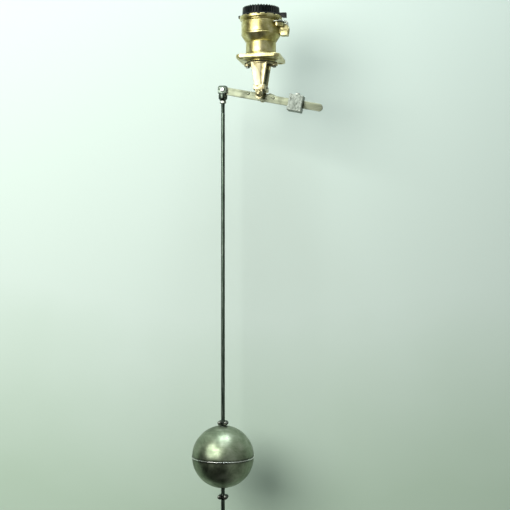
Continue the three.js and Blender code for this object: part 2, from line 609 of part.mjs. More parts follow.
// ---------------------------------------------------------------- float
/** One half of the ball, open at the seam and holed for its boss; way is 1 above and -1 below. */
function floatShell(way) {
  const hole = GUIDE.boss + GAP;
  const inner = FLOAT.radius - FLOAT.wall;
  const ball = (radius, from, to, steps) => Array.from({ length: steps + 1 }, (_, i) => {
    const angle = from + ((to - from) * i) / steps;
    return [radius * Math.cos(angle), radius * Math.sin(angle)];
  });
  const seamAngle = (radius) => Math.asin(GAP / 2 / radius);
  const steps = 7;
  const outside = ball(FLOAT.radius, seamAngle(FLOAT.radius), Math.acos(hole / FLOAT.radius), steps);
  const inside = ball(inner, Math.acos(hole / inner), seamAngle(inner), steps);
  const profile = [...outside, ...inside];
  profile.push(profile[0]);
  const shell = turned(profile, ROUND);
  return (way > 0 ? shell : shell.rotate([180, 0, 0])).translate([FLOAT.x, 0, FLOAT.z]);
}

/** The weld bead around the ball's equator. */
function seamRing() {
  const inside = FLOAT.radius + GAP;
  return turned([
    [inside, -FLOAT.seamHalf], [FLOAT.seam - 0.5, -FLOAT.seamHalf], [FLOAT.seam, 0],
    [FLOAT.seam - 0.5, FLOAT.seamHalf], [inside, FLOAT.seamHalf], [inside, -FLOAT.seamHalf],
  ]).translate([FLOAT.x, 0, FLOAT.z]);
}

function floatBoss(way) {
  const outer = Math.sqrt(FLOAT.radius ** 2 - GUIDE.boss ** 2) + 0.4;
  const boss = ring(GUIDE.bore, GUIDE.boss, outer - GUIDE.bossThick, outer, 24);
  return (way > 0 ? boss : boss.rotate([180, 0, 0])).translate([FLOAT.x, 0, FLOAT.z]);
}

function guideTube() {
  const half = Math.sqrt(FLOAT.radius ** 2 - GUIDE.boss ** 2) + 0.4 - GUIDE.bossThick - GAP;
  return ring(GUIDE.bore, GUIDE.outer, -half, half, 20).translate([FLOAT.x, 0, FLOAT.z]);
}

add("float_upper_shell", floatShell(1), steel());
add("float_lower_shell", floatShell(-1), steel());
add("float_seam_ring", seamRing(), steel());
add("float_top_boss", floatBoss(1), steel());
add("float_bottom_boss", floatBoss(-1), steel());
add("float_guide_tube", guideTube(), steel());

// ---------------------------------------------------------------- pilot works inside the head
/** The clearance hole of one of the two screws that hold the valve block; side is -1 in front. */
function blockScrewHole(side) {
  return post(BLOCK_SCREW.radius + GAP, 30, 70).translate([BLOCK_SCREW.x, side * BLOCK_SCREW.y, 0]);
}

/** A cage screwed to the chamber floor: two cheeks for the rocker's pin and a top that carries the valve. */
function pilotFrame() {
  const floor = CHAMBER.floor + GAP;
  const { left, right, half, sheet, shelfTop, cheekHalf, shelfLeft } = CAGE;
  let frame = box([left, -half, floor], [right, half, floor + sheet]);
  frame = frame.subtract(box([-12.5, -8, 0], [12.5, 8, 10]));
  for (const side of [-1, 1]) {
    const near = side < 0 ? -half : half - sheet;
    frame = frame.add(box([-cheekHalf, near, floor + 1], [cheekHalf, near + sheet, shelfTop - 1]));
    frame = frame.subtract(post(CAGE_SCREW.hole, 0, 10).translate([side * CAGE_SCREW.x, 0, 0]));
  }
  frame = frame.add(box([shelfLeft, -half, shelfTop - sheet], [right, half, shelfTop]));
  frame = frame.subtract(alongY(post(ROCKER.pin + GAP, -20, 20), 0, 0, ROCKER.z));
  frame = frame.subtract(post(3, 30, 50).translate([BLOCK.stemX, 0, 0]));
  for (const side of [-1, 1]) frame = frame.subtract(blockScrewHole(side));
  return frame;
}

function rocker() {
  const outline = [
    ...arc(0, 0, 4.5, 60, 225, 8), [-2.5, -4], [-2.5, -ROCKER.arm + 4], [-5, -ROCKER.arm + 4],
    [-5, -ROCKER.arm + 1.5], [5, -ROCKER.arm + 1.5], [5, -ROCKER.arm + 4], [2.5, -ROCKER.arm + 4],
    [2.5, -3.6], [6, -1], ...arc(ROCKER.finger, 0, ROCKER.fingerRadius, -90, 90, 6), [5, 1],
  ];
  return uprightPlate(outline, -2, 2, [[0, 0, ROCKER.pin + GAP]])
    .rotate([0, ROCKER.lean, 0]).translate([0, 0, ROCKER.z]);
}

function followerMagnet() {
  return post(ROCKER.magnet, -ROCKER.arm - 3, -ROCKER.arm + 1.5 - GAP, MIDDLE)
    .rotate([0, ROCKER.lean, 0]).translate([0, 0, ROCKER.z]);
}

/** Height of the rocker's round finger end at rest. */
const FINGER_Z = ROCKER.z - ROCKER.finger * Math.sin(radians(ROCKER.lean)) + ROCKER.fingerRadius;

function poppetStem() {
  return turned([
    [0, FINGER_Z + GAP], [2, FINGER_Z + GAP], [2, 49], [4.2, 50.2], [4.2, 52], [1.4, 52], [1.4, 53], [0, 53],
  ], MIDDLE).translate([BLOCK.stemX, 0, 0]);
}

function valveBlock() {
  let block = box([BLOCK.left, -BLOCK.half, BLOCK.bottom], [BLOCK.right, BLOCK.half, BLOCK.top]);
  const throat = turned([[0, 40], [2.5, 40], [2.5, 48], [5, 49.3], [5, 70], [0, 70]], MIDDLE);
  block = block.subtract(throat.translate([BLOCK.stemX, 0, 0]));
  block = block.subtract(alongX(post(2.3, 0, 12), BLOCK.stemX + 1, 0, BLOCK.portZ));
  for (const side of [-1, 1]) block = block.subtract(blockScrewHole(side));
  return block;
}

/** The closing spring, a coil between the poppet's head and the block's plug. */
function poppetSpring() {
  class Coil extends THREE.Curve {
    getPoint(t, target = new THREE.Vector3()) {
      const angle = 2 * Math.PI * SPRING.turns * t;
      const height = SPRING.bottom + SPRING.height * t;
      return target.set(SPRING.radius * Math.cos(angle), SPRING.radius * Math.sin(angle), height);
    }
  }
  const wire = new THREE.Shape();
  wire.absarc(0, 0, SPRING.wire, 0, 2 * Math.PI);
  const steps = SPRING.turns * 10;
  const options = { steps, curveSegments: 3, extrudePath: new Coil(), bevelEnabled: false };
  return solid(new THREE.ExtrudeGeometry(wire, options)).translate([BLOCK.stemX, 0, 0]);
}

/** The pressure tube from the valve block out through the side of the head. */
function outletTube() {
  const port = BLOCK.portZ;
  const points = [
    [BLOCK.right + GAP, port], [26, port], [29, port + 2.5], [31.5, OUTLET.z - 0.5],
    [35, OUTLET.z], [47, OUTLET.z],
  ];
  const path = new THREE.CatmullRomCurve3(points.map(([x, z]) => new THREE.Vector3(x, 0, z)));
  const section = new THREE.Shape();
  section.absarc(0, 0, TUBE.outer, 0, 2 * Math.PI);
  const bore = new THREE.Path();
  bore.absarc(0, 0, TUBE.inner, 0, 2 * Math.PI, true);
  section.holes.push(bore);
  const options = { steps: 10, curveSegments: 4, extrudePath: path, bevelEnabled: false };
  return solid(new THREE.ExtrudeGeometry(section, options));
}

add("pilot_frame", pilotFrame(), brass());
for (const [side, name] of [[-1, "left"], [1, "right"]]) {
  const { x, radius, head, headHeight } = CAGE_SCREW;
  const bolt = screw(radius, head, 0.8, CHAMBER.floor + 2 * GAP + CAGE.sheet, headHeight);
  add(`frame_screw_${name}`, bolt.translate([side * x, 0, 0]), steel());
}
add("rocker_pin", alongY(post(ROCKER.pin, -CAGE.half - 1.5, CAGE.half + 1.5), 0, 0, ROCKER.z), steel());
add("rocker", rocker(), steel());
add("follower_magnet", followerMagnet(), magnetGrey());
add("poppet_stem", poppetStem(), steel());
add("valve_block", valveBlock(), brass());
add("poppet_spring", poppetSpring(), brightSteel());
add("block_plug", screw(4.7, 6.4, 59.6, BLOCK.top + GAP, 3, MIDDLE).translate([BLOCK.stemX, 0, 0]), brass());
for (const [side, name] of [[-1, "front"], [1, "rear"]]) {
  const { x, y, radius, head, tip, headHeight } = BLOCK_SCREW;
  const bolt = screw(radius, head, tip, BLOCK.top + GAP, headHeight);
  add(`block_screw_${name}`, bolt.translate([x, side * y, 0]), steel());
}
add("outlet_tube", outletTube(), brass());

export default group;
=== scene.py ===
"""Looks of the float valve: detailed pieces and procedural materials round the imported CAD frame."""
import json
import math

import bmesh
import bpy
from mathutils import Matrix, Vector, noise


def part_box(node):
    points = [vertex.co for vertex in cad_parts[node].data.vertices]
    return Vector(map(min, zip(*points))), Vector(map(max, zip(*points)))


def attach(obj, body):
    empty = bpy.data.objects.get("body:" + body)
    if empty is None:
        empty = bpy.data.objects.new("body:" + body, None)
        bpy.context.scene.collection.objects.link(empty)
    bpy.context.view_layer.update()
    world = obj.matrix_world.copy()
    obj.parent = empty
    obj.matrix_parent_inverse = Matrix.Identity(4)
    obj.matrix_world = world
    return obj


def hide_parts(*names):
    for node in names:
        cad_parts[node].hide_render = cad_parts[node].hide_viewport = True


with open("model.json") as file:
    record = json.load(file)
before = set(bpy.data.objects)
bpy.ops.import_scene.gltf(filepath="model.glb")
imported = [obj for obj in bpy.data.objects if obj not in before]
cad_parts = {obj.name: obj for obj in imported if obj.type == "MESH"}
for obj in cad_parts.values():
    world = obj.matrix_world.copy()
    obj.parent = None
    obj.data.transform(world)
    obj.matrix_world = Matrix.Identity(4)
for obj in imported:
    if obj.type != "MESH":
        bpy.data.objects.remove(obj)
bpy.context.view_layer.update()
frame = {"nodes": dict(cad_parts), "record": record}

MM = 0.001
JOINTS = {joint["name"]: joint for joint in frame["record"]["behaviour"]["joints"]}
LEVER_AXIS = JOINTS["counterweight_slide"]["axis"]
TILT = math.atan2(-LEVER_AXIS[2], LEVER_AXIS[0])
PIVOT = Vector(JOINTS["lever_swing"]["pos_m"]) / MM
CLEVIS_PLACE = Vector(JOINTS["rod_swing"]["pos_m"]) / MM


def corners(node):
    """Lowest and highest corner of a CAD node, in millimetres."""
    low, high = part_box(node)
    return low / MM, high / MM


def middle(node):
    low, high = corners(node)
    return (low + high) / 2


# ---------------------------------------------------------------- camera
CAMERA_DISTANCE = 2.113
CAMERA_HEIGHT = -0.405
CAMERA_AZIMUTH = math.radians(10.5)
CAMERA_ASIDE = -0.0125
CAMERA_LENS = 71.4
VIEW_RIGHT = Vector((math.cos(CAMERA_AZIMUTH), math.sin(CAMERA_AZIMUTH), 0))
VIEW_AHEAD = Vector((-math.sin(CAMERA_AZIMUTH), math.cos(CAMERA_AZIMUTH), 0))


def add_camera():
    """A level camera that looks past the head from slightly to its right."""
    data = bpy.data.cameras.new("camera")
    data.lens = CAMERA_LENS
    data.sensor_width = 36
    camera = bpy.data.objects.new("camera", data)
    raised = Vector((0, 0, CAMERA_HEIGHT))
    camera.location = VIEW_RIGHT * CAMERA_ASIDE - VIEW_AHEAD * CAMERA_DISTANCE + raised
    camera.rotation_euler = (math.pi / 2, 0, CAMERA_AZIMUTH)
    bpy.context.scene.collection.objects.link(camera)
    bpy.context.scene.camera = camera


add_camera()


# ---------------------------------------------------------------- mesh tools
def link(name, mesh):
    obj = bpy.data.objects.new(name, mesh)
    bpy.context.scene.collection.objects.link(obj)
    return obj


def solid(name, mesh):
    """Turns a bmesh into an object in the scene."""
    data = bpy.data.meshes.new(name)
    mesh.to_mesh(data)
    mesh.free()
    return link(name, data)


def evaluated_mesh(obj):
    """The mesh of an object after its modifiers or curve settings."""
    bpy.context.view_layer.update()
    return bpy.data.meshes.new_from_object(obj.evaluated_get(bpy.context.evaluated_depsgraph_get()))


def rounded(points, radius, steps=4):
    """The same outline with each inner corner turned into an arc; a point may carry its own radius."""
    out = [points[0][:2]]
    for before, here, after in zip(points, points[1:], points[2:]):
        want = here[2] if len(here) > 2 else radius
        a = Vector(before[:2]) - Vector(here[:2])
        b = Vector(after[:2]) - Vector(here[:2])
        if want <= 0 or a.length < 1e-6 or b.length < 1e-6:
            out.append(tuple(here[:2]))
            continue
        cut = min(want, a.length * 0.45, b.length * 0.45)
        start = Vector(here[:2]) + a.normalized() * cut
        end = Vector(here[:2]) + b.normalized() * cut
        for i in range(steps + 1):
            t = i / steps
            mix = start * (1 - t) ** 2 + Vector(here[:2]) * 2 * t * (1 - t) + end * t * t
            out.append((mix.x, mix.y))
    out.append(points[-1][:2])
    return out


def revolve(name, profile, sides=96, shape=None):
    """A turned piece about +Z, in millimetres; shape(radius, height, angle) may move its points."""
    closed = (Vector(profile[0]) - Vector(profile[-1])).length < 1e-6
    rows = profile[:-1] if closed else profile
    mesh = bmesh.new()
    rings = []
    for radius, height in rows:
        if radius < 1e-6:
            rings.append([mesh.verts.new((0, 0, height * MM))])
            continue
        ring = []
        for i in range(sides):
            angle = 2 * math.pi * i / sides
            r, z = shape(radius, height, angle) if shape else (radius, height)
            ring.append(mesh.verts.new((r * math.cos(angle) * MM, r * math.sin(angle) * MM, z * MM)))
        rings.append(ring)
    pairs = list(zip(rings, rings[1:])) + ([(rings[-1], rings[0])] if closed else [])
    for low, high in pairs:
        for i in range(sides):
            j = (i + 1) % sides
            if len(low) == 1 and len(high) == 1:
                continue
            if len(low) == 1:
                mesh.faces.new((low[0], high[j], high[i]))
            elif len(high) == 1:
                mesh.faces.new((low[i], low[j], high[0]))
            else:
                mesh.faces.new((low[i], low[j], high[j], high[i]))
    bmesh.ops.recalc_face_normals(mesh, faces=mesh.faces)
    return solid(name, mesh)


def drill(radius, bottom, top, sides=32):
    """A plain cylinder about +Z that cuts a hole."""
    return revolve("drill", [(0, bottom), (radius, bottom), (radius, top), (0, top)], sides)


def block(name, low, high, bevel=0.0, segments=3):
    """A box between two corners in millimetres, with its edges rounded."""
    mesh = bmesh.new()
    bmesh.ops.create_cube(mesh, size=1)
    for vert in mesh.verts:
        for axis in range(3):
            vert.co[axis] = (low[axis] if vert.co[axis] < 0 else high[axis]) * MM
    if bevel:
        bmesh.ops.bevel(mesh, geom=mesh.edges[:], offset=bevel * MM, segments=segments, profile=0.6,
                        affect="EDGES", clamp_overlap=True)
    return solid(name, mesh)


def arc(x, y, radius, start, end, steps=12):
    """Points of an arc, the angles in degrees."""
    angles = [math.radians(start + (end - start) * i / steps) for i in range(steps + 1)]
    return [(x + radius * math.cos(a), y + radius * math.sin(a)) for a in angles]


def plate(name, outline, low, high, holes=(), edge=0.4, upright=True):
    """A flat piece of an outline with round holes (x, y, radius); upright ones stand in the X-Z plane."""
    curve = bpy.data.curves.new(name, "CURVE")
    curve.dimensions = "2D"
    curve.fill_mode = "BOTH"
    curve.extrude = (high - low) / 2 * MM - edge * MM
    curve.bevel_depth = edge * MM
    curve.bevel_resolution = 2
    curve.offset = -edge * MM
    loops = [outline] + [arc(x, y, r, 0, 360, 32)[:-1] for x, y, r in holes]
    for points in loops:
        spline = curve.splines.new("POLY")
        spline.points.add(len(points) - 1)
        spline.use_cyclic_u = True
        for point, (x, y) in zip(spline.points, points):
            point.co = (x * MM, y * MM, 0, 1)
    source = link(name + "_curve", curve)
    data = evaluated_mesh(source)
    bpy.data.objects.remove(source)
    mesh = bmesh.new()
    mesh.from_mesh(data)
    bmesh.ops.remove_doubles(mesh, verts=mesh.verts, dist=0.00001)
    centre = (low + high) / 2 * MM
    if upright:
        turn = Matrix.Translation((0, centre, 0)) @ Matrix.Rotation(math.pi / 2, 4, "X")
    else:
        turn = Matrix.Translation((0, 0, centre))
    bmesh.ops.transform(mesh, matrix=turn, verts=mesh.verts)
    bmesh.ops.recalc_face_normals(mesh, faces=mesh.faces)
    mesh.to_mesh(data)
    mesh.free()
    data.name = name
    return link(name, data)


def moved(obj, place=(0, 0, 0), turn=None):
    """Turns a piece's mesh and moves it by millimetres."""
    matrix = Matrix.Translation(Vector(place) * MM)
    if turn is not None:
        matrix = matrix @ turn
    obj.data.transform(matrix)
    return obj


def rotation(axis, degrees):
    return Matrix.Rotation(math.radians(degrees), 4, axis)


ALONG_X = rotation("Y", 90)
ALONG_Y = rotation("X", -90)


def combine(obj, other, operation="UNION"):
    """Joins or cuts a piece with another closed piece, which is used up."""
    modifier = obj.modifiers.new("combine", "BOOLEAN")
    modifier.operation = operation
    modifier.object = other
    modifier.solver = "EXACT"
    apply_modifiers(obj)
    bpy.data.objects.remove(other)
    return obj


def cut(obj, other):
    return combine(obj, other, "DIFFERENCE")


def apply_modifiers(obj):
    data = evaluated_mesh(obj)
    obj.modifiers.clear()
    obj.data = data
    return obj


def soften(obj, width, segments=2, angle=32):
    """Rounds the sharp edges of a finished shape."""
    mesh = bmesh.new()
    mesh.from_mesh(obj.data)
    bmesh.ops.remove_doubles(mesh, verts=mesh.verts, dist=0.00002)
    bmesh.ops.dissolve_degenerate(mesh, edges=mesh.edges, dist=0.00002)
    mesh.to_mesh(obj.data)
    mesh.free()
    modifier = obj.modifiers.new("soften", "BEVEL")
    modifier.width = width * MM
    modifier.segments = segments
    modifier.limit_method = "ANGLE"
    modifier.angle_limit = math.radians(angle)
    modifier.harden_normals = False
    return apply_modifiers(obj)


def rough(obj, depth, scale, seed=0):
    """Pushes a dense mesh in and out by a little noise, as a sand casting is."""
    mesh = obj.data
    offset = Vector((seed * 3.1, seed * 1.7, seed * 2.3))
    for vert in mesh.vertices:
        push = noise.fractal(vert.co * scale + offset, 1.0, 2.0, 3)
        vert.co += vert.normal * push * depth * MM
    return obj


def show(obj, body, node, slot, material, sharp=35, name=None):
    """Gives a finished piece its finish and its body, and hides the CAD node that it stands for."""
    mesh = obj.data
    mesh.materials.clear()
    mesh.materials.append(material)
    mesh.shade_smooth()
    mesh.set_sharp_from_angle(angle=math.radians(sharp))
    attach(obj, body)
    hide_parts(node)
    if name:
        obj.name = name


# ---------------------------------------------------------------- materials
class Finish:
    """A material built from nodes round one Principled shader."""

    def __init__(self, name, metallic, roughness):
        self.material = bpy.data.materials.new(name)
        self.material.use_nodes = True
        self.tree = self.material.node_tree
        self.shader = self.tree.nodes["Principled BSDF"]
        self.shader.inputs["Metallic"].default_value = metallic
        self.shader.inputs["Roughness"].default_value = roughness
        self.place = self.tree.nodes.new("ShaderNodeTexCoord").outputs["Object"]

    def mapped(self, stretch=(1, 1, 1), turn=(0, 0, 0), start=(0, 0, 0)):
        """The piece's own coordinates, turned and stretched, for grain that runs one way."""
        node = self.tree.nodes.new("ShaderNodeMapping")
        node.vector_type = "TEXTURE"
        node.inputs["Location"].default_value = start
        node.inputs["Rotation"].default_value = turn
        self.tree.links.new(self.place, node.inputs["Vector"])
        scale = self.tree.nodes.new("ShaderNodeVectorMath")
        scale.operation = "MULTIPLY"
        scale.inputs[1].default_value = stretch
        self.tree.links.new(node.outputs[0], scale.inputs[0])
        return scale.outputs[0]

    def noise(self, scale, detail=5.0, rough=0.6, where=None, distortion=0.0):
        node = self.tree.nodes.new("ShaderNodeTexNoise")
        node.inputs["Scale"].default_value = scale
        node.inputs["Detail"].default_value = detail
        node.inputs["Roughness"].default_value = rough
        node.inputs["Distortion"].default_value = distortion
        self.tree.links.new(where or self.place, node.inputs["Vector"])
        return node.outputs[0]

    def cells(self, scale):
        node = self.tree.nodes.new("ShaderNodeTexVoronoi")
        node.inputs["Scale"].default_value = scale
        self.tree.links.new(self.place, node.inputs["Vector"])
        return node.outputs["Distance"]

    def worn(self):
        """How sharply the surface turns: over a half on edges, under a half in corners."""
        return self.tree.nodes.new("ShaderNodeNewGeometry").outputs["Pointiness"]

    def ramp(self, factor, *stops):
        """Greys or colours by factor; each stop is a place and a grey or colour."""
        node = self.tree.nodes.new("ShaderNodeValToRGB")
        ramp = node.color_ramp
        while len(ramp.elements) < len(stops):
            ramp.elements.new(0.5)
        for element, (position, value) in zip(ramp.elements, stops):
            element.position = position
            colour = value if isinstance(value, tuple) else (value, value, value)
            element.color = (*colour, 1)
        self.tree.links.new(factor, node.inputs["Fac"])
        return node.outputs["Color"]

    def mix(self, factor, first, second):
        node = self.tree.nodes.new("ShaderNodeMix")
        node.data_type = "RGBA"
        for socket, value in ((node.inputs[0], factor), (node.inputs[6], first),
                              (node.inputs[7], second)):
            if isinstance(value, (int, float)):
                socket.default_value = value
            elif isinstance(value, tuple):
                socket.default_value = (*value, 1)
            else:
                self.tree.links.new(value, socket)
        return node.outputs[2]

    def math(self, operation, first, second):
        node = self.tree.nodes.new("ShaderNodeMath")
        node.operation = operation
        for socket, value in zip(node.inputs, (first, second)):
            if isinstance(value, (int, float)):
                socket.default_value = value
            else:
                self.tree.links.new(value, socket)
        return node.outputs[0]

    def bump(self, height, depth, strength=1.0, under=None):
        node = self.tree.nodes.new("ShaderNodeBump")
        node.inputs["Strength"].default_value = strength
        node.inputs["Distance"].default_value = depth * MM
        self.tree.links.new(height, node.inputs["Height"])
        if under:
            self.tree.links.new(under, node.inputs["Normal"])
        return node.outputs[0]

    def set(self, **sockets):
        """Links an output to each named socket of the shader."""
        names = {"colour": "Base Color", "roughness": "Roughness", "normal": "Normal",
                 "metallic": "Metallic"}
        for name, value in sockets.items():
            self.tree.links.new(value, self.shader.inputs[names[name]])
        return self.material


def cast_metal(name, dark, main, pale, roughness=(0.26, 0.5), grain=0.05, lathe=True):
    """Cast metal, turned on its round faces: mottled, with fine tool lines, bright worn edges and painted
    shade in its inner corners.
    """
    finish = Finish(name, 1.0, 0.35)
    broad = finish.noise(38, 6, 0.62)
    fine = finish.noise(420, 4, 0.6)
    colour = finish.ramp(broad, (0.30, dark), (0.47, main), (0.72, pale))
    colour = finish.mix(finish.ramp(fine, (0.32, 0.65), (0.5, 1.0)), dark, colour)
    worn = finish.ramp(finish.worn(), (0.505, 0.0), (0.58, 1.0))
    # painted shade: inner corners, where the surface turns inwards, are darkened nearly to black
    corner_shade = finish.ramp(finish.worn(), (0.42, 1.0), (0.492, 0.0))
    colour = finish.mix(finish.math("MULTIPLY", worn, 0.7), colour, pale)
    colour = finish.mix(finish.math("MULTIPLY", corner_shade, 0.75), colour, tuple(c * 0.18 for c in dark))
    rough_map = finish.ramp(finish.noise(90, 6, 0.65), (0.3, roughness[0]), (0.7, roughness[1]))
    bump = finish.bump(fine, grain)
    if lathe:
        lines = finish.noise(1, 3, 0.7, finish.mapped((30, 30, 1900)))
        bump = finish.bump(lines, 0.035, 0.8, bump)
        rough_map = finish.mix(finish.ramp(lines, (0.35, 0.0), (0.65, 0.35)), rough_map,
                               (0.6, 0.6, 0.6))
    return finish.set(colour=colour, roughness=rough_map, normal=bump)


def drawn_metal(name, dark, main, pale, along=(1, 1, 1), turn=(0, 0, 0), roughness=(0.2, 0.42),
                scratch=0.03, stain=0.4):
    """Drawn or brushed metal: streaks one way, handling stains, small scratches and painted shade in its
    inner corners.
    """
    finish = Finish(name, 1.0, 0.3)
    streak = finish.noise(1, 6, 0.65, finish.mapped(along, turn))
    cloud = finish.noise(45, 5, 0.6, distortion=0.4)
    colour = finish.ramp(streak, (0.28, dark), (0.5, main), (0.72, pale))
    colour = finish.mix(finish.ramp(cloud, (0.52, 0.0), (0.68, stain)), colour,
                        tuple(c * 0.45 for c in dark))
    # painted shade: inner corners, where the surface turns inwards, are darkened
    corner_shade = finish.ramp(finish.worn(), (0.42, 0.8), (0.49, 0.0))
    colour = finish.mix(corner_shade, colour, tuple(c * 0.2 for c in dark))
    rough_map = finish.ramp(finish.math("ADD", finish.math("MULTIPLY", streak, 0.5),
                                        finish.math("MULTIPLY", cloud, 0.5)),
                            (0.35, roughness[0]), (0.65, roughness[1]))
    return finish.set(colour=colour, roughness=rough_map, normal=finish.bump(streak, scratch))


BRONZE_DARK = (0.15, 0.12, 0.03)
BRONZE_MAIN = (0.45, 0.395, 0.135)
BRONZE_PALE = (0.82, 0.76, 0.48)

bronze = cast_metal("bronze", BRONZE_DARK, BRONZE_MAIN, BRONZE_PALE, (0.2, 0.4))
# painted shade: a darker copy of the bronze, without lathe lines, that dims the outlet block's
# reflections
shaded_unturned_bronze = cast_metal("shaded_unturned_bronze", (0.10, 0.08, 0.02), (0.33, 0.30, 0.11), (0.66, 0.61, 0.36),
                         lathe=False)
pale_bronze = cast_metal("pale_bronze", (0.16, 0.13, 0.04), (0.37, 0.325, 0.175), (0.66, 0.60, 0.39),
                         (0.32, 0.52), 0.08, lathe=False)
brass = cast_metal("brass", (0.40, 0.28, 0.06), (0.74, 0.58, 0.20), (0.90, 0.78, 0.42), (0.2, 0.36),
                   0.02)
steel = drawn_metal("steel", (0.08, 0.09, 0.075), (0.21, 0.225, 0.195), (0.48, 0.50, 0.45),
                    (260, 260, 260))
dark_steel = drawn_metal("dark_steel", (0.012, 0.018, 0.013), (0.05, 0.065, 0.052),
                         (0.24, 0.28, 0.235), (260, 260, 260))
bright_steel = drawn_metal("bright_steel", (0.50, 0.51, 0.49), (0.74, 0.75, 0.72), (0.88, 0.89, 0.87),
                           (300, 300, 300), roughness=(0.14, 0.3), scratch=0.012, stain=0.15)
rod_steel = drawn_metal("rod_steel", (0.016, 0.026, 0.018), (0.065, 0.092, 0.07), (0.22, 0.27, 0.22),
                        (700, 700, 26), roughness=(0.25, 0.5), scratch=0.05)
lever_steel = drawn_metal("lever_steel", (0.13, 0.145, 0.095), (0.25, 0.275, 0.195), (0.40, 0.43, 0.32),
                          (16, 900, 900), (0, TILT, 0), (0.4, 0.62), 0.04, 0.5)


def float_metal():
    """Spun stainless sheet: fine rings, cloudy smudges, dark specks and painted shade in a dark band
    along both sides of the weld seam.
    """
    finish = Finish("float_steel", 1.0, 0.3)
    centre = middle("float_seam_ring") * MM
    rings = finish.noise(1, 4, 0.7, finish.mapped((14, 14, 900), start=centre))
    cloud = finish.noise(26, 6, 0.62, distortion=0.6)
    specks = finish.cells(95)
    colour = finish.ramp(cloud, (0.3, (0.11, 0.145, 0.09)), (0.5, (0.255, 0.305, 0.21)),
                         (0.7, (0.40, 0.445, 0.345)))
    colour = finish.mix(finish.ramp(rings, (0.3, 0.25), (0.6, 0.0)), colour, (0.13, 0.145, 0.105))
    colour = finish.mix(finish.ramp(specks, (0.0, 0.8), (0.11, 0.0)), colour, (0.05, 0.055, 0.035))
    height = finish.tree.nodes.new("ShaderNodeSeparateXYZ")
    finish.tree.links.new(finish.mapped((1, 1, 1), start=centre), height.inputs[0])
    wander = finish.math("MULTIPLY", finish.noise(60, 3), 0.006)
    away = finish.math("ADD", finish.math("ABSOLUTE", height.outputs[2], 0.0), wander)
    # painted shade: a near-black band within about 8 mm of the seam plane, on both halves
    colour = finish.mix(finish.ramp(away, (0.0045, 0.95), (0.0085, 0.0)), colour, (0.02, 0.026, 0.018))
    rough_map = finish.ramp(finish.noise(48, 6, 0.65), (0.3, 0.32), (0.7, 0.5))
    bump = finish.bump(rings, 0.03)
    bump = finish.bump(finish.noise(30, 2, 0.5), 0.5, 0.5, bump)
    return finish.set(colour=colour, roughness=rough_map, normal=bump)


def cast_iron():
    """A pale plated casting: sandy, speckled with dark pores."""
    finish = Finish("cast_iron", 0.55, 0.6)
    sand = finish.noise(330, 5, 0.7)
    patch = finish.noise(75, 4, 0.6)
    pores = finish.cells(210)
    colour = finish.ramp(patch, (0.3, (0.24, 0.275, 0.235)), (0.55, (0.37, 0.41, 0.36)),
                         (0.75, (0.52, 0.56, 0.50)))
    colour = finish.mix(finish.ramp(sand, (0.37, 0.8), (0.46, 0.0)), colour, (0.075, 0.085, 0.065))
    colour = finish.mix(finish.ramp(pores, (0.08, 0.7), (0.2, 0.0)), colour, (0.05, 0.055, 0.045))
    rough_map = finish.ramp(sand, (0.3, 0.85), (0.7, 0.45))
    bump = finish.bump(sand, 0.18, 0.8, finish.bump(patch, 0.5))
    return finish.set(colour=colour, roughness=rough_map, normal=bump)


def black_plastic():
    """Moulded black plastic with a fine grain, scuffed grey on its edges."""
    finish = Finish("black_plastic", 0.0, 0.35)
    finish.shader.inputs["Specular IOR Level"].default_value = 0.18
    grain = finish.noise(900, 3, 0.6)
    scuff = finish.noise(150, 5, 0.7)
    colour = finish.ramp(scuff, (0.4, (0.001, 0.0014, 0.0016)), (0.8, (0.006, 0.009, 0.009)))
    edge = finish.math("MULTIPLY", finish.ramp(finish.worn(), (0.52, 0.0), (0.62, 1.0)), 0.35)
    colour = finish.mix(edge, colour, (0.035, 0.05, 0.045))
    rough_map = finish.ramp(scuff, (0.3, 0.22), (0.7, 0.5))
    return finish.set(colour=colour, roughness=rough_map, normal=finish.bump(grain, 0.04))


def rubber():
    """Dull black rubber with a dusty bloom."""
    finish = Finish("rubber", 0.0, 0.8)
    bloom = finish.noise(120, 6, 0.7)
    colour = finish.ramp(bloom, (0.35, (0.010, 0.010, 0.010)), (0.75, (0.045, 0.043, 0.040)))
    rough_map = finish.ramp(bloom, (0.3, 0.7), (0.7, 0.92))
    return finish.set(colour=colour, roughness=rough_map, normal=finish.bump(finish.noise(700), 0.05))


def ferrite():
    """Sintered magnet: dark grey, ground, with tiny chips."""
    finish = Finish("magnet", 0.6, 0.45)
    ground = finish.noise(500, 5, 0.7)
    chips = finish.cells(320)
    colour = finish.ramp(ground, (0.3, (0.05, 0.052, 0.056)), (0.7, (0.16, 0.165, 0.17)))
    colour = finish.mix(finish.ramp(chips, (0.05, 0.6), (0.14, 0.0)), colour, (0.02, 0.02, 0.02))
    rough_map = finish.ramp(ground, (0.3, 0.35), (0.7, 0.6))
    return finish.set(colour=colour, roughness=rough_map, normal=finish.bump(ground, 0.03))


float_steel = float_metal()
cast_iron_grey = cast_iron()
plastic = black_plastic()
black_rubber = rubber()
magnet_grey = ferrite()


# ---------------------------------------------------------------- small shared pieces
def slotted_screw(shank, head, tip, seat, height, slot=1.0):
    """A screw along +Z with a rounded, slotted head."""
    top = seat + height
    profile = rounded([(0, tip), (shank * 0.7, tip), (shank, tip + 0.8), (shank, seat, 0),
                       (head, seat, 0.15),
                       (head, top - height * 0.2, height * 0.6), (head * 0.55, top, height * 0.5),
                       (0, top)], 0.3)
    screw = revolve("screw", profile, 40)
    cut(screw, block("slot", (-head - 1, -slot / 2, top - height * 0.5), (head + 1, slot / 2, top + 1)))
    return soften(screw, 0.1)


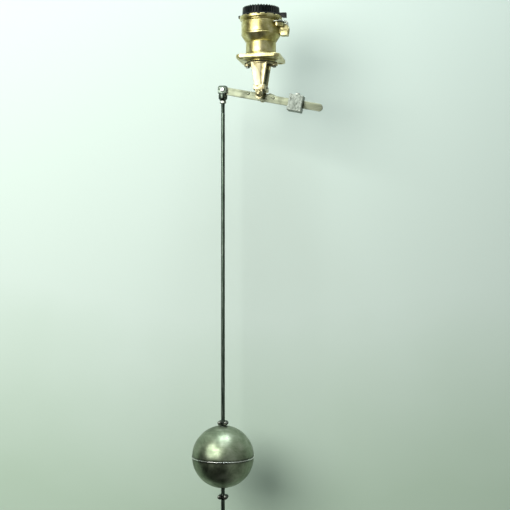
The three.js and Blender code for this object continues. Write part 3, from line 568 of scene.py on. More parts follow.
def turned_ring(inner, outer, bottom, top, round_off=0.3, sides=64):
    """A washer, bush or bead about +Z with rounded edges."""
    profile = [(inner, (bottom + top) / 2), (inner, bottom), (outer, bottom), (outer, top),
               (inner, top), (inner, (bottom + top) / 2)]
    return revolve("ring", rounded(profile, round_off), sides)


def along_front(obj, place):
    """Lays a piece made about +Z along Y, its foot towards the front, at a place in the X-Z plane."""
    return moved(obj, (place[0], 0, place[2]), ALONG_Y)


# ---------------------------------------------------------------- head
BODY_LOW, BODY_HIGH = corners("valve_body")
CAP_LOW, CAP_HIGH = corners("cover_cap")
OUTLET_LOW, OUTLET_HIGH = corners("outlet_block")
DISC_LOW, DISC_HIGH = corners("lock_disc")
STRAP_LOW, STRAP_HIGH = corners("lock_strap")
RIM_RADIUS = 44.4
RIM_INNER = 42
RIM_TOP = BODY_HIGH.z
RIM_BOTTOM = 84.5
SHELF_Z = 88
FLANGE_HALF = 46
FLANGE_TOP = 8
FLANGE_CORNER = 12
BOLT_PLACE = 35
BOLT_RADIUS = 4.5
NECK_RADIUS = 41
WAIST_RADIUS = 31.5
OUTLET_Z = middle("outlet_block").z - 0.55
OUTLET_BORE = 5.5
RIM_NOTCHES = 14
NOTCH_DEPTH = 1.9
DISC_RADIUS = 14.5
DISC_REACH = 41.5
DISC_BEARING = math.radians(-24)
HEAD_SCREW_X = 28


def rim_notches(radius, height, angle):
    """Shallow slots cast across the rim's top edge at uneven steps."""
    if height < RIM_TOP - 1.2 or radius < RIM_INNER - 0.2:
        return radius, height
    turn = angle / (2 * math.pi) * RIM_NOTCHES
    slot = abs((turn + 0.16 * math.sin(5 * angle)) % 1 - 0.5) < 0.13
    return radius, height - (NOTCH_DEPTH if slot else 0)


def body_casting():
    """The bronze head: spigot, flange, waist, cone, neck, rim and chamber in one casting."""
    profile = [
        (0, BODY_LOW.z), (30, BODY_LOW.z, 0.6), (30, 0, 0), (WAIST_RADIUS + 2.5, 0, 0),
        (WAIST_RADIUS + 2.5, FLANGE_TOP + 1.4, 0.8), (WAIST_RADIUS, FLANGE_TOP + 3.2, 1.2),
        (WAIST_RADIUS, 13, 0.3), (WAIST_RADIUS - 1, 13.6, 0.2), (WAIST_RADIUS - 1, 14.8, 0.2),
               (WAIST_RADIUS, 15.4, 0.3),
        (WAIST_RADIUS, 36.2, 0.5), (WAIST_RADIUS - 0.7, 36.8, 0.3), (WAIST_RADIUS - 0.7, 38, 0.3),
        (WAIST_RADIUS + 0.6, 39, 1), (NECK_RADIUS, 53, 2.2),
        (NECK_RADIUS, 55.2, 0.4), (NECK_RADIUS - 0.6, 55.7, 0.2), (NECK_RADIUS - 0.6, 56.7, 0.2),
        (NECK_RADIUS, 57.2, 0.4), (NECK_RADIUS, 80, 1.2), (NECK_RADIUS - 2.2, 82.2, 0.8),
        (NECK_RADIUS - 2.2, RIM_BOTTOM, 0.4), (RIM_RADIUS - 1.2, RIM_BOTTOM, 0.6),
        (RIM_RADIUS, RIM_BOTTOM + 1.6, 0.8), (RIM_RADIUS, RIM_TOP, 0.7),
        (RIM_INNER, RIM_TOP, 0.5), (RIM_INNER, SHELF_Z, 0.3), (34, SHELF_Z, 0.5), (34, 56, 1.5),
               (23.5, 40, 1.5),
        (23.5, 1.5, 0.8), (0, 1.5),
    ]
    body = revolve("body_casting", rounded(profile, 0.5, 3), 160, rim_notches)
    inset = FLANGE_HALF - FLANGE_CORNER
    outline = [point for x, y, start in ((1, 1, 0), (-1, 1, 90), (-1, -1, 180), (1, -1, 270))
               for point in arc(x * inset, y * inset, FLANGE_CORNER, start, start + 90, 8)]
    holes = [(x * BOLT_PLACE, y * BOLT_PLACE, BOLT_RADIUS) for x in (-1, 1) for y in (-1, 1)]
    flange = plate("flange", outline, 0, FLANGE_TOP, holes, edge=1.6, upright=False)
    flange = cut(flange, drill(28, -2, 12, 96))
    body = combine(body, flange)
    pad = plate("pad", arc(0, 0, 12, 0, 360, 48)[:-1], 66.5, 74.5, edge=0.8, upright=False)
    pad = moved(pad, (*corner_reach(), 0))
    pad = cut(pad, block("inside", (-40, -40, 60), (36, 40, 90)))
    body = combine(body, cut(pad, block("beside", (NECK_RADIUS + 0.2, -8.8, 40), (80, 40, 90))))
    body = combine(body, block("boss", (34.5, -10, OUTLET_LOW.z + 3),
                               (NECK_RADIUS + 0.3, 10, OUTLET_HIGH.z - 3), 1.2))
    body = cut(body, moved(drill(6.5, 0, 30, 48), (20, 0, OUTLET_Z), ALONG_X))
    body = cut(body, block("ear_slot", (40, -6, SHELF_Z - 0.6), (52, 6, 100)))
    body = cut(body, block("ear_slot", (-52, -5, SHELF_Z - 0.6), (-40, 5, 100)))
    for side in (-1, 1):
        body = cut(body, moved(drill(2.5, -6, 2.5), (side * HEAD_SCREW_X, 0, 0)))
    return body


def corner_reach():
    """The plan position of the lock disc's round centre."""
    return DISC_REACH * math.cos(DISC_BEARING), DISC_REACH * math.sin(DISC_BEARING)


show(body_casting(), "head", "valve_body", "bronze", bronze)


CAP_RIBS = 40
RIB_STEPS = 8
CAP_SIDES = CAP_RIBS * RIB_STEPS
DISH_Z = CAP_HIGH.z - 2.8
INSIDE_Z = 106


def cap_ring(mesh, points):
    """A ring of vertices from (radius, height) in millimetres, one for each side of the cap."""
    turns = [2 * math.pi * i / CAP_SIDES for i in range(CAP_SIDES)]
    return [mesh.verts.new((radius * math.cos(a) * MM, radius * math.sin(a) * MM, height * MM))
            for a, (radius, height) in zip(turns, points)]


def grip_points(height, depth):
    """The grip's outline at one height: each rib leans a little and has its own top."""
    for i in range(CAP_SIDES):
        rib, part = divmod(i, RIB_STEPS)
        valley = part in (5, 6)
        half_way = part in (4, 7)
        lean = 0.35 * noise.noise(Vector((rib * 0.9, 0, 7)))
        radius = 39.3 - 1.0 * (height - 94) / 16.5
        radius -= 2.3 * depth if valley else (1.4 * depth if half_way else lean * depth)
        drop = 0
        if height > 109:
            drop = 2.4 if valley else (1.3 if half_way else 0.9 * abs(lean) + 0.25 * (rib % 3))
        yield radius, height - drop


def join_rings(mesh, rings):
    for low, high in zip(rings, rings[1:]):
        for i in range(CAP_SIDES):
            j = (i + 1) % CAP_SIDES
            mesh.faces.new((low[i], low[j], high[j], high[i]))


def ribbed_cap():
    """The black cap: a flange in the rim, a grip of uneven ribs and a dished top with a web."""
    mesh = bmesh.new()
    levels = [(91, 0.0), (94, 0.0), (95.2, 0.75), (96, 1.0), (107.6, 1.0), (109.2, 0.8),
              (CAP_HIGH.z, 0.2)]
    outer = [cap_ring(mesh, grip_points(height, depth)) for height, depth in levels]
    dish = [(34.6, CAP_HIGH.z - 1.2), (33.6, CAP_HIGH.z - 3.6), (20, CAP_HIGH.z - 3.2), (8, DISH_Z)]
    outer += [cap_ring(mesh, [point] * CAP_SIDES) for point in dish]
    top = mesh.verts.new((0, 0, DISH_Z * MM))
    bottom = mesh.verts.new((0, 0, INSIDE_Z * MM))
    join_rings(mesh, outer)
    for i in range(CAP_SIDES):
        mesh.faces.new((outer[-1][i], outer[-1][(i + 1) % CAP_SIDES], top))
    under = [(8, INSIDE_Z), (34, 105.6), (34, 94), (33.5, 91)]
    lower = [cap_ring(mesh, [point] * CAP_SIDES) for point in under]
    join_rings(mesh, lower)
    for i in range(CAP_SIDES):
        j = (i + 1) % CAP_SIDES
        mesh.faces.new((bottom, lower[0][j], lower[0][i]))
        mesh.faces.new((lower[-1][i], lower[-1][j], outer[0][j], outer[0][i]))
    bmesh.ops.recalc_face_normals(mesh, faces=mesh.faces)
    cap = solid("ribbed_cap", mesh)
    skirt = [(33.6, 91), (33.6, 90, 0.3), (41.7, 90, 0.5), (41.7, 93.4, 0.8), (36, 93.9, 0.3),
             (36, 91, 0.3), (33.6, 91)]
    cap = combine(cap, revolve("skirt", rounded(skirt, 0.3), 160))
    ear = block("ear", (38, -4.6, 90.1), (CAP_HIGH.x, 4.6, 98.9), 1.2)
    ear = combine(ear, block("ear_foot", (46, -4.6, CAP_LOW.z), (CAP_HIGH.x, 4.6, 94), 1.2))
    cap = combine(cap, ear)
    cap = combine(cap, block("ear_left", (CAP_LOW.x, -3.6, 90.1), (-37, 3.6, 96), 1.0))
    hub = plate("hub", arc(0, 0, 9, 0, 360, 6)[:-1], CAP_HIGH.z - 4.5, CAP_HIGH.z - 0.8, edge=0.5,
                upright=False)
    cap = combine(cap, hub)
    for i in range(6):
        web = block("web", (7, -1.0, CAP_HIGH.z - 5), (35, 1.0, CAP_HIGH.z - 1.9), 0.4)
        cap = combine(cap, moved(web, (0, 0, 0), rotation("Z", 60 * i + 12)))
    return cap


show(ribbed_cap(), "cover", "cover_cap", "black_plastic", plastic, 28)

GASKET_LOW, GASKET_HIGH = corners("cover_gasket")
show(turned_ring(35, GASKET_HIGH.x, GASKET_LOW.z, GASKET_HIGH.z, 0.5, 96), "cover", "cover_gasket",
     "rubber", black_rubber, name="cover_seal")


def outlet_housing():
    """The square side block: a split line across its face, a stepped top and a round lip at the bore."""
    base = block("outlet_housing", OUTLET_LOW, (58, OUTLET_HIGH.y, OUTLET_HIGH.z), 1.1, 3)
    notch = block("notch", (54.1, -20, OUTLET_Z + 9), (70, 20, 90))
    base = cut(base, notch)
    base = cut(base, block("seam", (40, -12, OUTLET_Z - 0.4), (70, OUTLET_LOW.y + 0.9, OUTLET_Z + 0.6)))
    base = cut(base, block("seam", (57.4, -12, OUTLET_Z - 0.4), (70, 12, OUTLET_Z + 0.6)))
    lip = revolve("lip", rounded([(0, 0), (7.9, 0), (7.9, 2.4, 0.7), (0, 2.4)], 0.4), 64)
    base = combine(base, moved(lip, (57, 0, OUTLET_Z), ALONG_X))
    bore = revolve("bore", [(0, -1), (OUTLET_BORE, -1), (OUTLET_BORE, 17.4), (6.4, 18.6), (0, 18.6)],
                   48)
    base = cut(base, moved(bore, (41, 0, OUTLET_Z), ALONG_X))
    return soften(base, 0.25)


# the outlet block wears the darker bronze copy as painted shade
show(outlet_housing(), "head", "outlet_block", "bronze", shaded_unturned_bronze)


def lock_disc():
    """The bright crescent that keeps the cap from turning."""
    x, y = corner_reach()
    disc = plate("lock_disc_plate", arc(0, 0, DISC_RADIUS, 0, 360, 96)[:-1], DISC_LOW.z, DISC_HIGH.z,
                 edge=0.5, upright=False)
    disc = moved(disc, (x, y, 0))
    return soften(cut(disc, drill(NECK_RADIUS + 0.3, 60, 90, 128)), 0.25)


DISC_SCREW = middle("lock_disc_screw")
STRAP_SCREW = middle("lock_strap_screw")
show(lock_disc(), "head", "lock_disc", "steel", steel)
disc_screw = slotted_screw(1.8, 3.6, 70, DISC_HIGH.z + 0.3, 2.2)
show(moved(disc_screw, (DISC_SCREW.x, DISC_SCREW.y, 0), rotation("Z", 35)), "head", "lock_disc_screw",
     "bright_steel", bright_steel, name="disc_screw")


def lock_strap():
    """A bent steel strap over the outlet block, its free end down in the notch."""
    low, high = STRAP_LOW, STRAP_HIGH
    thick = 2.4
    outline = rounded([(low.x, high.z - thick), (high.x - thick, high.z - thick, 0.8),
                       (high.x - thick, low.z, 0.4), (high.x, low.z, 0.4), (high.x, high.z, 2.6),
                       (low.x, high.z, 0.5), (low.x, high.z - thick)], 0.5)[:-1]
    return plate("lock_strap_bent", outline, low.y, high.y, edge=0.35)


show(lock_strap(), "head", "lock_strap", "steel", steel)
strap_screw = slotted_screw(1.8, 3.6, 70, STRAP_HIGH.z + 0.3, 2.2)
show(moved(strap_screw, (STRAP_SCREW.x, STRAP_SCREW.y, 0), rotation("Z", -20)), "head",
     "lock_strap_screw",
     "bright_steel", bright_steel, name="strap_screw")


# ---------------------------------------------------------------- fulcrum bracket
BRACKET_LOW, BRACKET_HIGH = corners("fulcrum_bracket")
LEG_OUT = 26
LEG_THICK = 6
LEG_TOP = 17.5
LEG_FOOT = 9
BRIDGE_TOP = -52
BRIDGE_BOTTOM = -63
EAR_X = HEAD_SCREW_X
LUG_HALF = 7.5
LUG_NEAR = 17
LUG_FAR = 25
STOP_Z = middle("stop_screw_left").z


def bracket_leg(side):
    """A tapered leg with a sunk panel and a small slot in its outer face; side is -1 in front."""
    outline = rounded([(0, BRIDGE_BOTTOM), (LEG_FOOT, BRIDGE_BOTTOM, 0.5), (LEG_FOOT, -57, 6),
                       (LEG_TOP, BRACKET_HIGH.z, 0), (-LEG_TOP, BRACKET_HIGH.z, 0), (-LEG_FOOT, -57, 6),
                       (-LEG_FOOT, BRIDGE_BOTTOM, 0.5), (0, BRIDGE_BOTTOM)], 2)[:-1]
    near = -LEG_OUT if side < 0 else LEG_OUT - LEG_THICK
    leg = plate("leg", outline, near, near + LEG_THICK, edge=1.1)
    panel = [(3.9, -53), (6.4, -53), (12.4, -9), (3.9, -9)]
    face = side * LEG_OUT
    leg = cut(leg, plate("panel", panel, face - 2.4, face + 2.4, edge=0.5))
    return cut(leg, block("slot", (-3.6, face - 5.2, -57.5), (3.2, face + 5.2, -54), 0.8))


def pivot_lug(side):
    outline = [(LUG_HALF, BRIDGE_BOTTOM + 3), (-LUG_HALF, BRIDGE_BOTTOM + 3)]
    outline += arc(0, BRACKET_LOW.z + LUG_HALF, LUG_HALF, 180, 360, 20)
    near = -LUG_FAR if side < 0 else LUG_NEAR
    return plate("lug", outline, near, near + LUG_FAR - LUG_NEAR, [(0, PIVOT.z, 3.3)], edge=0.9)


def fulcrum_bracket():
    """Two tapered legs between a ring with screw ears and a slotted bridge with the pivot lugs."""
    top = BRACKET_HIGH.z
    frame_ring = rounded([(23, top - 1), (23, top - 3.7), (29, top - 3.7), (29, top), (23, top),
                          (23, top - 1)], 0.7)
    bracket = revolve("fulcrum", frame_ring, 96)
    for side in (-1, 1):
        ear = revolve("ear", rounded([(0, -11), (7.5, -11), (7.5, top), (0, top)], 1.2), 48)
        bracket = combine(bracket, moved(ear, (side * EAR_X, 0, 0)))
        web = plate("ear_web", [(16, top), (30, top), (30, -9.5), (22, -8.5)], -2.4, 2.4, edge=0.6)
        bracket = combine(bracket, web if side > 0 else moved(web, (0, 0, 0), rotation("Z", 180)))
        bracket = combine(bracket, bracket_leg(side))
    bridge = block("bridge", (-12.2, -LEG_OUT + 0.6, BRIDGE_BOTTOM),
                   (12.2, LEG_OUT - 0.6, BRIDGE_TOP), 2.0, 4)
    bracket = combine(bracket, bridge)
    for side in (-1, 1):
        bracket = combine(bracket, pivot_lug(side))
    bracket = cut(bracket, block("lever_slot", (-9.6, -3, -70), (9.6, 7, -40), 0.8))
    bracket = cut(bracket, block("window", (-23, -LEG_OUT + LEG_THICK, -30),
                                 (23, LEG_OUT - LEG_THICK, -4.9), 0.2))
    for side in (-1, 1):
        bracket = cut(bracket, moved(drill(2.5, -20, 2), (side * EAR_X, 0, 0)))
    bracket = cut(bracket, moved(drill(1.8, -20, 20, 24), (0, 2, STOP_Z), ALONG_X))
    return soften(bracket, 0.3)


show(fulcrum_bracket(), "head", "fulcrum_bracket", "pale_bronze", pale_bronze, name="bracket_casting")


def flange_seal():
    """The rubber seal between the head and the bracket, with a tab round each screw."""
    low, high = corners("bracket_gasket")
    seal = turned_ring(23, 29, low.z, high.z, 0.35, 96)
    for side in (-1, 1):
        tab = revolve("tab", rounded([(0, low.z), (6.5, low.z), (6.5, high.z), (0, high.z)], 0.35), 40)
        seal = combine(seal, moved(tab, (side * EAR_X, 0, 0)))
        seal = cut(seal, moved(drill(2.5, -20, 2), (side * EAR_X, 0, 0)))
    return seal


show(flange_seal(), "head", "bracket_gasket", "rubber", black_rubber, name="bracket_seal")

for side, word in ((-1, "left"), (1, "right")):
    low, high = corners(f"bracket_screw_{word}")
    bolt = slotted_screw(2.2, 4.2, -high.z, -low.z - 3, 3, 1.1)
    bolt = moved(bolt, (side * EAR_X, 0, 0), rotation("X", 180) @ rotation("Z", 25 * side))
    show(bolt, "head", f"bracket_screw_{word}", "steel", steel, name=f"ear_bolt_{word}")
    low, high = corners(f"stop_screw_{word}")
    length = high.x - low.x
    screw = slotted_screw(1.5, 2.8, 0, length - 2.2, 2.2, 0.9)
    start = low.x if side > 0 else high.x
    screw = moved(screw, (start, 2, STOP_Z), rotation("Y", 90 * side) @ rotation("Z", 40))
    show(screw, "head", f"stop_screw_{word}", "steel", bright_steel, name=f"travel_stop_{word}")


def pivot_pin():
    """The pivot pin: a polished domed head in front, a groove for its clip behind."""
    low, high = corners("pivot_pin")
    head = low.y
    profile = [(0, head), (3.2, head + 0.4, 2.4), (6.0, head + 2.6, 1.6), (7, head + 5.2, 0.8),
               (7, head + 7, 0.3),
               (3, head + 7, 0.2), (3, high.y - 3, 0), (2.1, high.y - 3, 0), (2.1, high.y - 1.8, 0),
               (3, high.y - 1.8, 0), (3, high.y, 0.6), (0, high.y)]
    return along_front(revolve("pivot_pin_turned", rounded(profile, 0.3, 5), 64), PIVOT)


def clip_ring(node, inner, outer, gap, place):
    """A spring clip: a flat ring opened at the top, with two small eyes."""
    low, high = corners(node)
    clip = turned_ring(inner, outer - 0.9, 0, high.y - low.y, 0.2, 48)
    for side in (-1, 1):
        eye = revolve("eye", rounded([(0, 0), (1.2, 0), (1.2, high.y - low.y), (0, high.y - low.y)],
                                     0.2), 20)
        clip = combine(clip, moved(eye, (side * (gap + 0.9), -outer + 1.3, 0)))
    clip = cut(clip, block("gap", (-gap, -outer - 1, -5), (gap, -inner + 0.8, 5)))
    return moved(clip, (place.x, low.y, place.z), ALONG_Y)


show(pivot_pin(), "head", "pivot_pin", "pale_bronze", pale_bronze)
show(clip_ring("pivot_clip", 2.4, 5.4, 0.8, PIVOT), "head", "pivot_clip", "steel", steel,
     name="pivot_spring_clip")
for node, outer, look, finish_slot in (("pivot_washer_front", 7, bright_steel, "steel"),
                                       ("pivot_washer_rear", 6, steel, "steel"),
                                       ("pivot_spacer_front", 5, brass, "brass"),
                                       ("pivot_spacer_rear", 5, brass, "brass")):
    low, high = corners(node)
    piece = turned_ring(3.3, outer, low.y, high.y, min(0.6, (high.y - low.y) * 0.3))
    show(along_front(piece, PIVOT), "head", node, finish_slot, look,
         name=node.replace("pivot_", "fulcrum_"))


# ---------------------------------------------------------------- lever
BAR_HALF = 8
BAR_THICK = 4
BAR_V = -4
ARM_NEAR = 2.3
ARM_THICK = 3
ARM_TIP = 59.2
RIVET_U = 27
LEVER_TURN = rotation("Y", math.degrees(TILT))
CLEVIS_LEVEL = LEVER_TURN.inverted() @ (CLEVIS_PLACE - PIVOT)
BAR_RIGHT = 133


def on_lever(obj):
    """Tilts a piece that was made level about the pivot into its rest place."""
    return moved(obj, PIVOT, LEVER_TURN)


def lever_bar():
    """The flat bar: round ends, rolled edges and drilled holes."""
    left = CLEVIS_LEVEL.x
    outline = arc(left, BAR_V, BAR_HALF, 90, 270, 20)
    outline += arc(BAR_RIGHT - BAR_HALF, BAR_V, BAR_HALF, -90, 90, 20)
    holes = [(0, 0, 3.3), (left, CLEVIS_LEVEL.z, 2.8), (-RIVET_U, BAR_V + 3, 1.9),
             (RIVET_U, BAR_V + 3, 1.9)]
    return on_lever(plate("lever_flat_bar", outline, -BAR_THICK / 2, BAR_THICK / 2, holes, edge=0.55))


def magnet_arm():
    """The T-shaped plate behind the bar, its arm reaching up into the bracket."""
    top = BAR_V + BAR_HALF
    outline = rounded([
        (0, BAR_V - 2), (37.6, BAR_V - 2, 1.5), (37.6, top - 1, 1.5), (20, 8, 2), (17, 8, 1),
        (14, 5.2, 3), (5, 5.2, 2.5), (5, 22, 3), (6, 25, 3), (6, ARM_TIP, 1), (-6, ARM_TIP, 1),
        (-6, 25, 3), (-5, 22, 3), (-5, 5.2, 2.5), (-37.6, top, 3), (-37.6, BAR_V - 2, 1.5),
        (0, BAR_V - 2),
    ], 1)[:-1]
    holes = [(0, 0, 3.3), (-RIVET_U, BAR_V + 3, 1.9), (RIVET_U, BAR_V + 3, 1.9)]
    return on_lever(plate("magnet_arm_plate", outline, ARM_NEAR, ARM_NEAR + ARM_THICK, holes, edge=0.4))


def arm_rivet(u):
    """A domed rivet through the bar and the arm, its narrow shank between two heads."""
    front = -BAR_THICK / 2
    back = ARM_NEAR + ARM_THICK
    profile = [(0, front - 1.9), (2.2, front - 1.7, 1.2), (3.2, front - 0.35, 0.3),
               (1.6, front - 0.35, 0.1), (1.6, back + 0.35, 0.1), (3.2, back + 0.35, 0.3),
               (2.2, back + 1.7, 1.2), (0, back + 1.9)]
    piece = revolve("rivet", rounded(profile, 0.4, 5), 40)
    return on_lever(moved(piece, (u, 0, BAR_V + 3), ALONG_Y))


def magnet_holder():
    """The brass cup that carries the drive magnet on the arm's tip."""
    holder = block("holder", (-7, -6.5, 55), (7, 6.8, 62), 0.8)
    holder = cut(holder, block("seat", (-6.3, ARM_NEAR - 0.3, 50),
                               (6.3, ARM_NEAR + ARM_THICK + 0.3, ARM_TIP + 0.3)))
    holder = cut(holder, revolve("pocket", [(0, 60.5), (6.3, 60.5), (6.3, 64), (0, 64)], 64))
    return on_lever(soften(holder, 0.2))


show(lever_bar(), "lever", "lever_bar", "lever_steel", lever_steel)
show(magnet_arm(), "lever", "magnet_arm", "lever_steel", lever_steel)
for u, word in ((-RIVET_U, "left"), (RIVET_U, "right")):
    show(arm_rivet(u), "lever", f"arm_rivet_{word}", "lever_steel", lever_steel, name=f"rivet_{word}")
show(magnet_holder(), "lever", "magnet_holder", "brass", brass, name="magnet_cup")
disc_magnet = revolve("disc_magnet", rounded([(0, 60.8), (6, 60.8), (6, 65), (0, 65)], 0.5), 64)
show(on_lever(disc_magnet), "lever", "drive_magnet", "magnet", magnet_grey)


# ---------------------------------------------------------------- counterweight
WEIGHT_U = 76
WEIGHT_SIZE = Vector((30, 30, 35))
WEIGHT_VOXEL = 0.55


def counterweight_casting():
    """A sand-cast block with soft edges, a slot for the bar and a drilled screw hole."""
    half = WEIGHT_SIZE / 2 - Vector((0.2, 0.2, 0.2))
    centre = Vector((WEIGHT_U, 0, BAR_V))
    casting = block("counterweight_casting", centre - half, centre + half, 1.6, 3)
    slot = BAR_HALF + 0.4
    casting = cut(casting, block("slot", (WEIGHT_U - 40, -BAR_THICK / 2 - 0.4, BAR_V - slot),
                                 (WEIGHT_U + 40, BAR_THICK / 2 + 0.4, BAR_V + slot)))
    casting = cut(casting, moved(drill(2.8, BAR_V, 60, 40), (WEIGHT_U, 0, 0)))
    remesh = casting.modifiers.new("dense", "REMESH")
    remesh.mode = "VOXEL"
    remesh.voxel_size = WEIGHT_VOXEL * MM
    apply_modifiers(casting)
    rough(casting, 0.3, 230, 3)
    rough(casting, 0.25, 70, 5)
    return on_lever(casting)


def counterweight_set_screw():
    """A square-headed set screw down onto the bar."""
    seat = BAR_V + WEIGHT_SIZE.z / 2
    profile = rounded([(0, BAR_V + BAR_HALF + 0.3), (1.8, BAR_V + BAR_HALF + 0.3),
                       (2.5, BAR_V + BAR_HALF + 1.2), (2.5, seat + 1), (0, seat + 1)], 0.2)
    screw = revolve("set_screw", profile, 40)
    head = block("head", (-3.5, -3.5, seat + 0.3), (3.5, 3.5, seat + 4), 0.2)
    crown = revolve("crown", [(0, seat), (5.2, seat), (5.2, seat + 3.1), (3.6, seat + 4.1),
                              (0, seat + 4.1)], 48)
    head = combine(head, crown, "INTERSECT")
    return on_lever(moved(soften(combine(screw, head), 0.15), (WEIGHT_U, 0, 0)))


show(counterweight_casting(), "counterweight", "counterweight", "cast_iron", cast_iron_grey, 50)
show(counterweight_set_screw(), "counterweight", "counterweight_screw", "steel", steel,
     name="weight_set_screw")


# ---------------------------------------------------------------- clevis, rod and stops
FORK_LOW, FORK_HIGH = corners("clevis_fork")
ROD_LOW, ROD_HIGH = corners("float_rod")
ROD_X = middle("float_rod").x
FORK_HALF = 9.7
FORK_DEPTH = 6.6
FORK_GROOVE = -67
FORK_SLOT = -72
ROD_HOLE = 4.3
ROD_RADIUS = 4.0
THREAD_ROOT = 3.5
THREAD_FOOT = -107
THREAD_TOP = -76.4
THREAD_PITCH = 1.25


def fork():
    """The fork: flat cheeks with a rounded top, a groove, a turned collar and a chamfer onto the rod."""
    half = FORK_HALF - 0.05
    outline = [(half, FORK_GROOVE + 1)] + arc(half - 4.2, FORK_HIGH.z - 4.2, 4.2, 0, 90, 8)
    outline += arc(-half + 4.2, FORK_HIGH.z - 4.2, 4.2, 90, 180, 8) + [(-half, FORK_GROOVE + 1)]
    cheeks = plate("fork", outline, -FORK_DEPTH, FORK_DEPTH, edge=0.8)
    profile = [(0, FORK_LOW.z), (5.5, FORK_LOW.z, 0.4), (9.3, FORK_LOW.z + 4.6, 0.5),
               (9.3, FORK_GROOVE - 1, 0.4),
               (8.3, FORK_GROOVE - 0.8, 0.2), (8.3, FORK_GROOVE + 1.4, 0), (0, FORK_GROOVE + 1.4)]
    collar = revolve("collar", rounded(profile, 0.4), 80)
    body = combine(cheeks, collar)
    body = combine(body, block("sides", (-20, -9.3, -100), (20, 9.3, -40)), "INTERSECT")
    body = cut(body, block("slot", (-20, -BAR_THICK / 2 - 0.4, FORK_SLOT),
                           (20, BAR_THICK / 2 + 0.4, -40)))
    body = cut(body, moved(drill(2.8, -20, 20, 48), (0, 0, CLEVIS_PLACE.z), ALONG_Y))
    bore = drill(ROD_HOLE, -90, FORK_SLOT - 2.4, 48)
    return moved(soften(cut(body, bore), 0.3), (ROD_X, 0, 0))


def clevis_pin():
    low, high = corners("clevis_pin")
    profile = [(0, low.y + 0.5), (1.9, low.y + 0.5, 0.3), (2.6, low.y, 0.3), (3.4, low.y, 0.5),
               (4.4, low.y + 1.1, 0.5),
               (4.4, low.y + 2.6, 0.2), (2.5, low.y + 2.6, 0.1), (2.5, high.y - 3, 0),
               (1.7, high.y - 3, 0),
               (1.7, high.y - 1.8, 0), (2.5, high.y - 1.8, 0), (2.5, high.y, 0.5), (0, high.y)]
    return along_front(revolve("clevis_pin_turned", rounded(profile, 0.3), 56), CLEVIS_PLACE)


def hex_nut():
    """The lock nut: six flats, both faces chamfered by a cone."""
    low, high = corners("clevis_lock_nut")
    nut = plate("nut", arc(0, 0, 7, 0, 360, 6)[:-1], low.z, high.z, [(0, 0, ROD_HOLE)], edge=0.12,
                upright=False)
    cone = revolve("cone", [(0, low.z), (6.1, low.z), (7.1, low.z + 0.9), (7.1, high.z - 0.9),
                            (6.1, high.z), (0, high.z)], 64)
    return moved(soften(combine(nut, cone, "INTERSECT"), 0.12), (ROD_X, 0, 0))


def float_rod():
    """The long rod: a threaded top, drawn surface a hair off straight round, chamfered foot."""
    profile = [(0, ROD_LOW.z), (3.0, ROD_LOW.z, 0.2), (ROD_RADIUS, ROD_LOW.z + 1.2, 0.3)]
    height = ROD_LOW.z + 12
    while height < -112:
        profile.append((3.97 + 0.03 * math.sin(height * 1.7), height, 0))
        height += 14
    profile += [(ROD_RADIUS, -108, 0), (3.55, -107.4, 0)]
    thread = THREAD_FOOT
    while thread < THREAD_TOP:
        profile += [(THREAD_ROOT, thread, 0), (ROD_RADIUS, thread + 0.45, 0),
                    (ROD_RADIUS, thread + 0.6, 0), (THREAD_ROOT, thread + 1.05, 0)]
        thread += THREAD_PITCH
    profile += [(3.3, -75.4, 0.2), (2.8, ROD_HIGH.z, 0.3), (0, ROD_HIGH.z)]
    return moved(revolve("float_rod_drawn", rounded(profile, 0.2, 2), 40), (ROD_X, 0, 0))


show(fork(), "rod", "clevis_fork", "steel", dark_steel, name="clevis")
show(clevis_pin(), "rod", "clevis_pin", "bright_steel", bright_steel)
show(clip_ring("clevis_clip", 2.0, 4.6, 0.7, CLEVIS_PLACE), "rod", "clevis_clip", "steel", steel,
     name="clevis_spring_clip")
show(hex_nut(), "rod", "clevis_lock_nut", "steel", steel, name="lock_nut")
show(float_rod(), "rod", "float_rod", "steel", rod_steel)


STOP_HEIGHT = 11
LOBE_X = 5.8
LOBE_RADIUS = 5
LOBE_SCREW_X = 6.6


def stop_clamp(top):
    """A split clamp: a waist round the rod between two round lobes, slit on one side."""
    centre = top - STOP_HEIGHT / 2
    waist = rounded([(0, top - STOP_HEIGHT), (6.4, top - STOP_HEIGHT), (6.4, top), (0, top)], 0.9)
    clamp = revolve("stop_clamp", waist, 48)
    for side in (-1, 1):
        lobe = revolve("lobe", rounded([(0, -6), (LOBE_RADIUS, -6), (LOBE_RADIUS, 6), (0, 6)], 0.9), 48)
        clamp = combine(clamp, moved(lobe, (side * LOBE_X, 0, centre), ALONG_Y))
    clamp = cut(clamp, drill(ROD_HOLE, top - 20, top + 5, 48))
    for side in (-1, 1):
        clamp = cut(clamp, moved(drill(1.5, -20, 20, 24), (side * LOBE_SCREW_X, 0, centre), ALONG_Y))
    clamp = cut(clamp, block("slit", (0, -0.5, top - 20), (20, 0.5, top + 10)))
    return moved(soften(clamp, 0.2), (ROD_X, 0, 0))


for word in ("upper", "lower"):
    clamp_top = corners(f"{word}_stop_clamp")[1].z
    show(stop_clamp(clamp_top), f"{word}_stop", f"{word}_stop_clamp", "steel", dark_steel,
         name=f"{word}_stop")
    for side, hand in ((-1, "left"), (1, "right")):
        node = f"{word}_stop_screw_{hand}"
        low, high = corners(node)
        screw = slotted_screw(1.2, 3.4, -high.y, -low.y - 2.4, 2.4, 0.9)
        screw = moved(screw, (middle(node).x, 0, middle(node).z),
                      rotation("X", 90) @ rotation("Z", 30 + 50 * side))
        show(screw, f"{word}_stop", node, "bright_steel", steel, name=f"{word}_clamp_bolt_{hand}")


# ---------------------------------------------------------------- float
FLOAT_MIDDLE = middle("float_seam_ring")
SHELL_RADIUS = 65
SHELL_WALL = 1.2
BOSS_RADIUS = 9


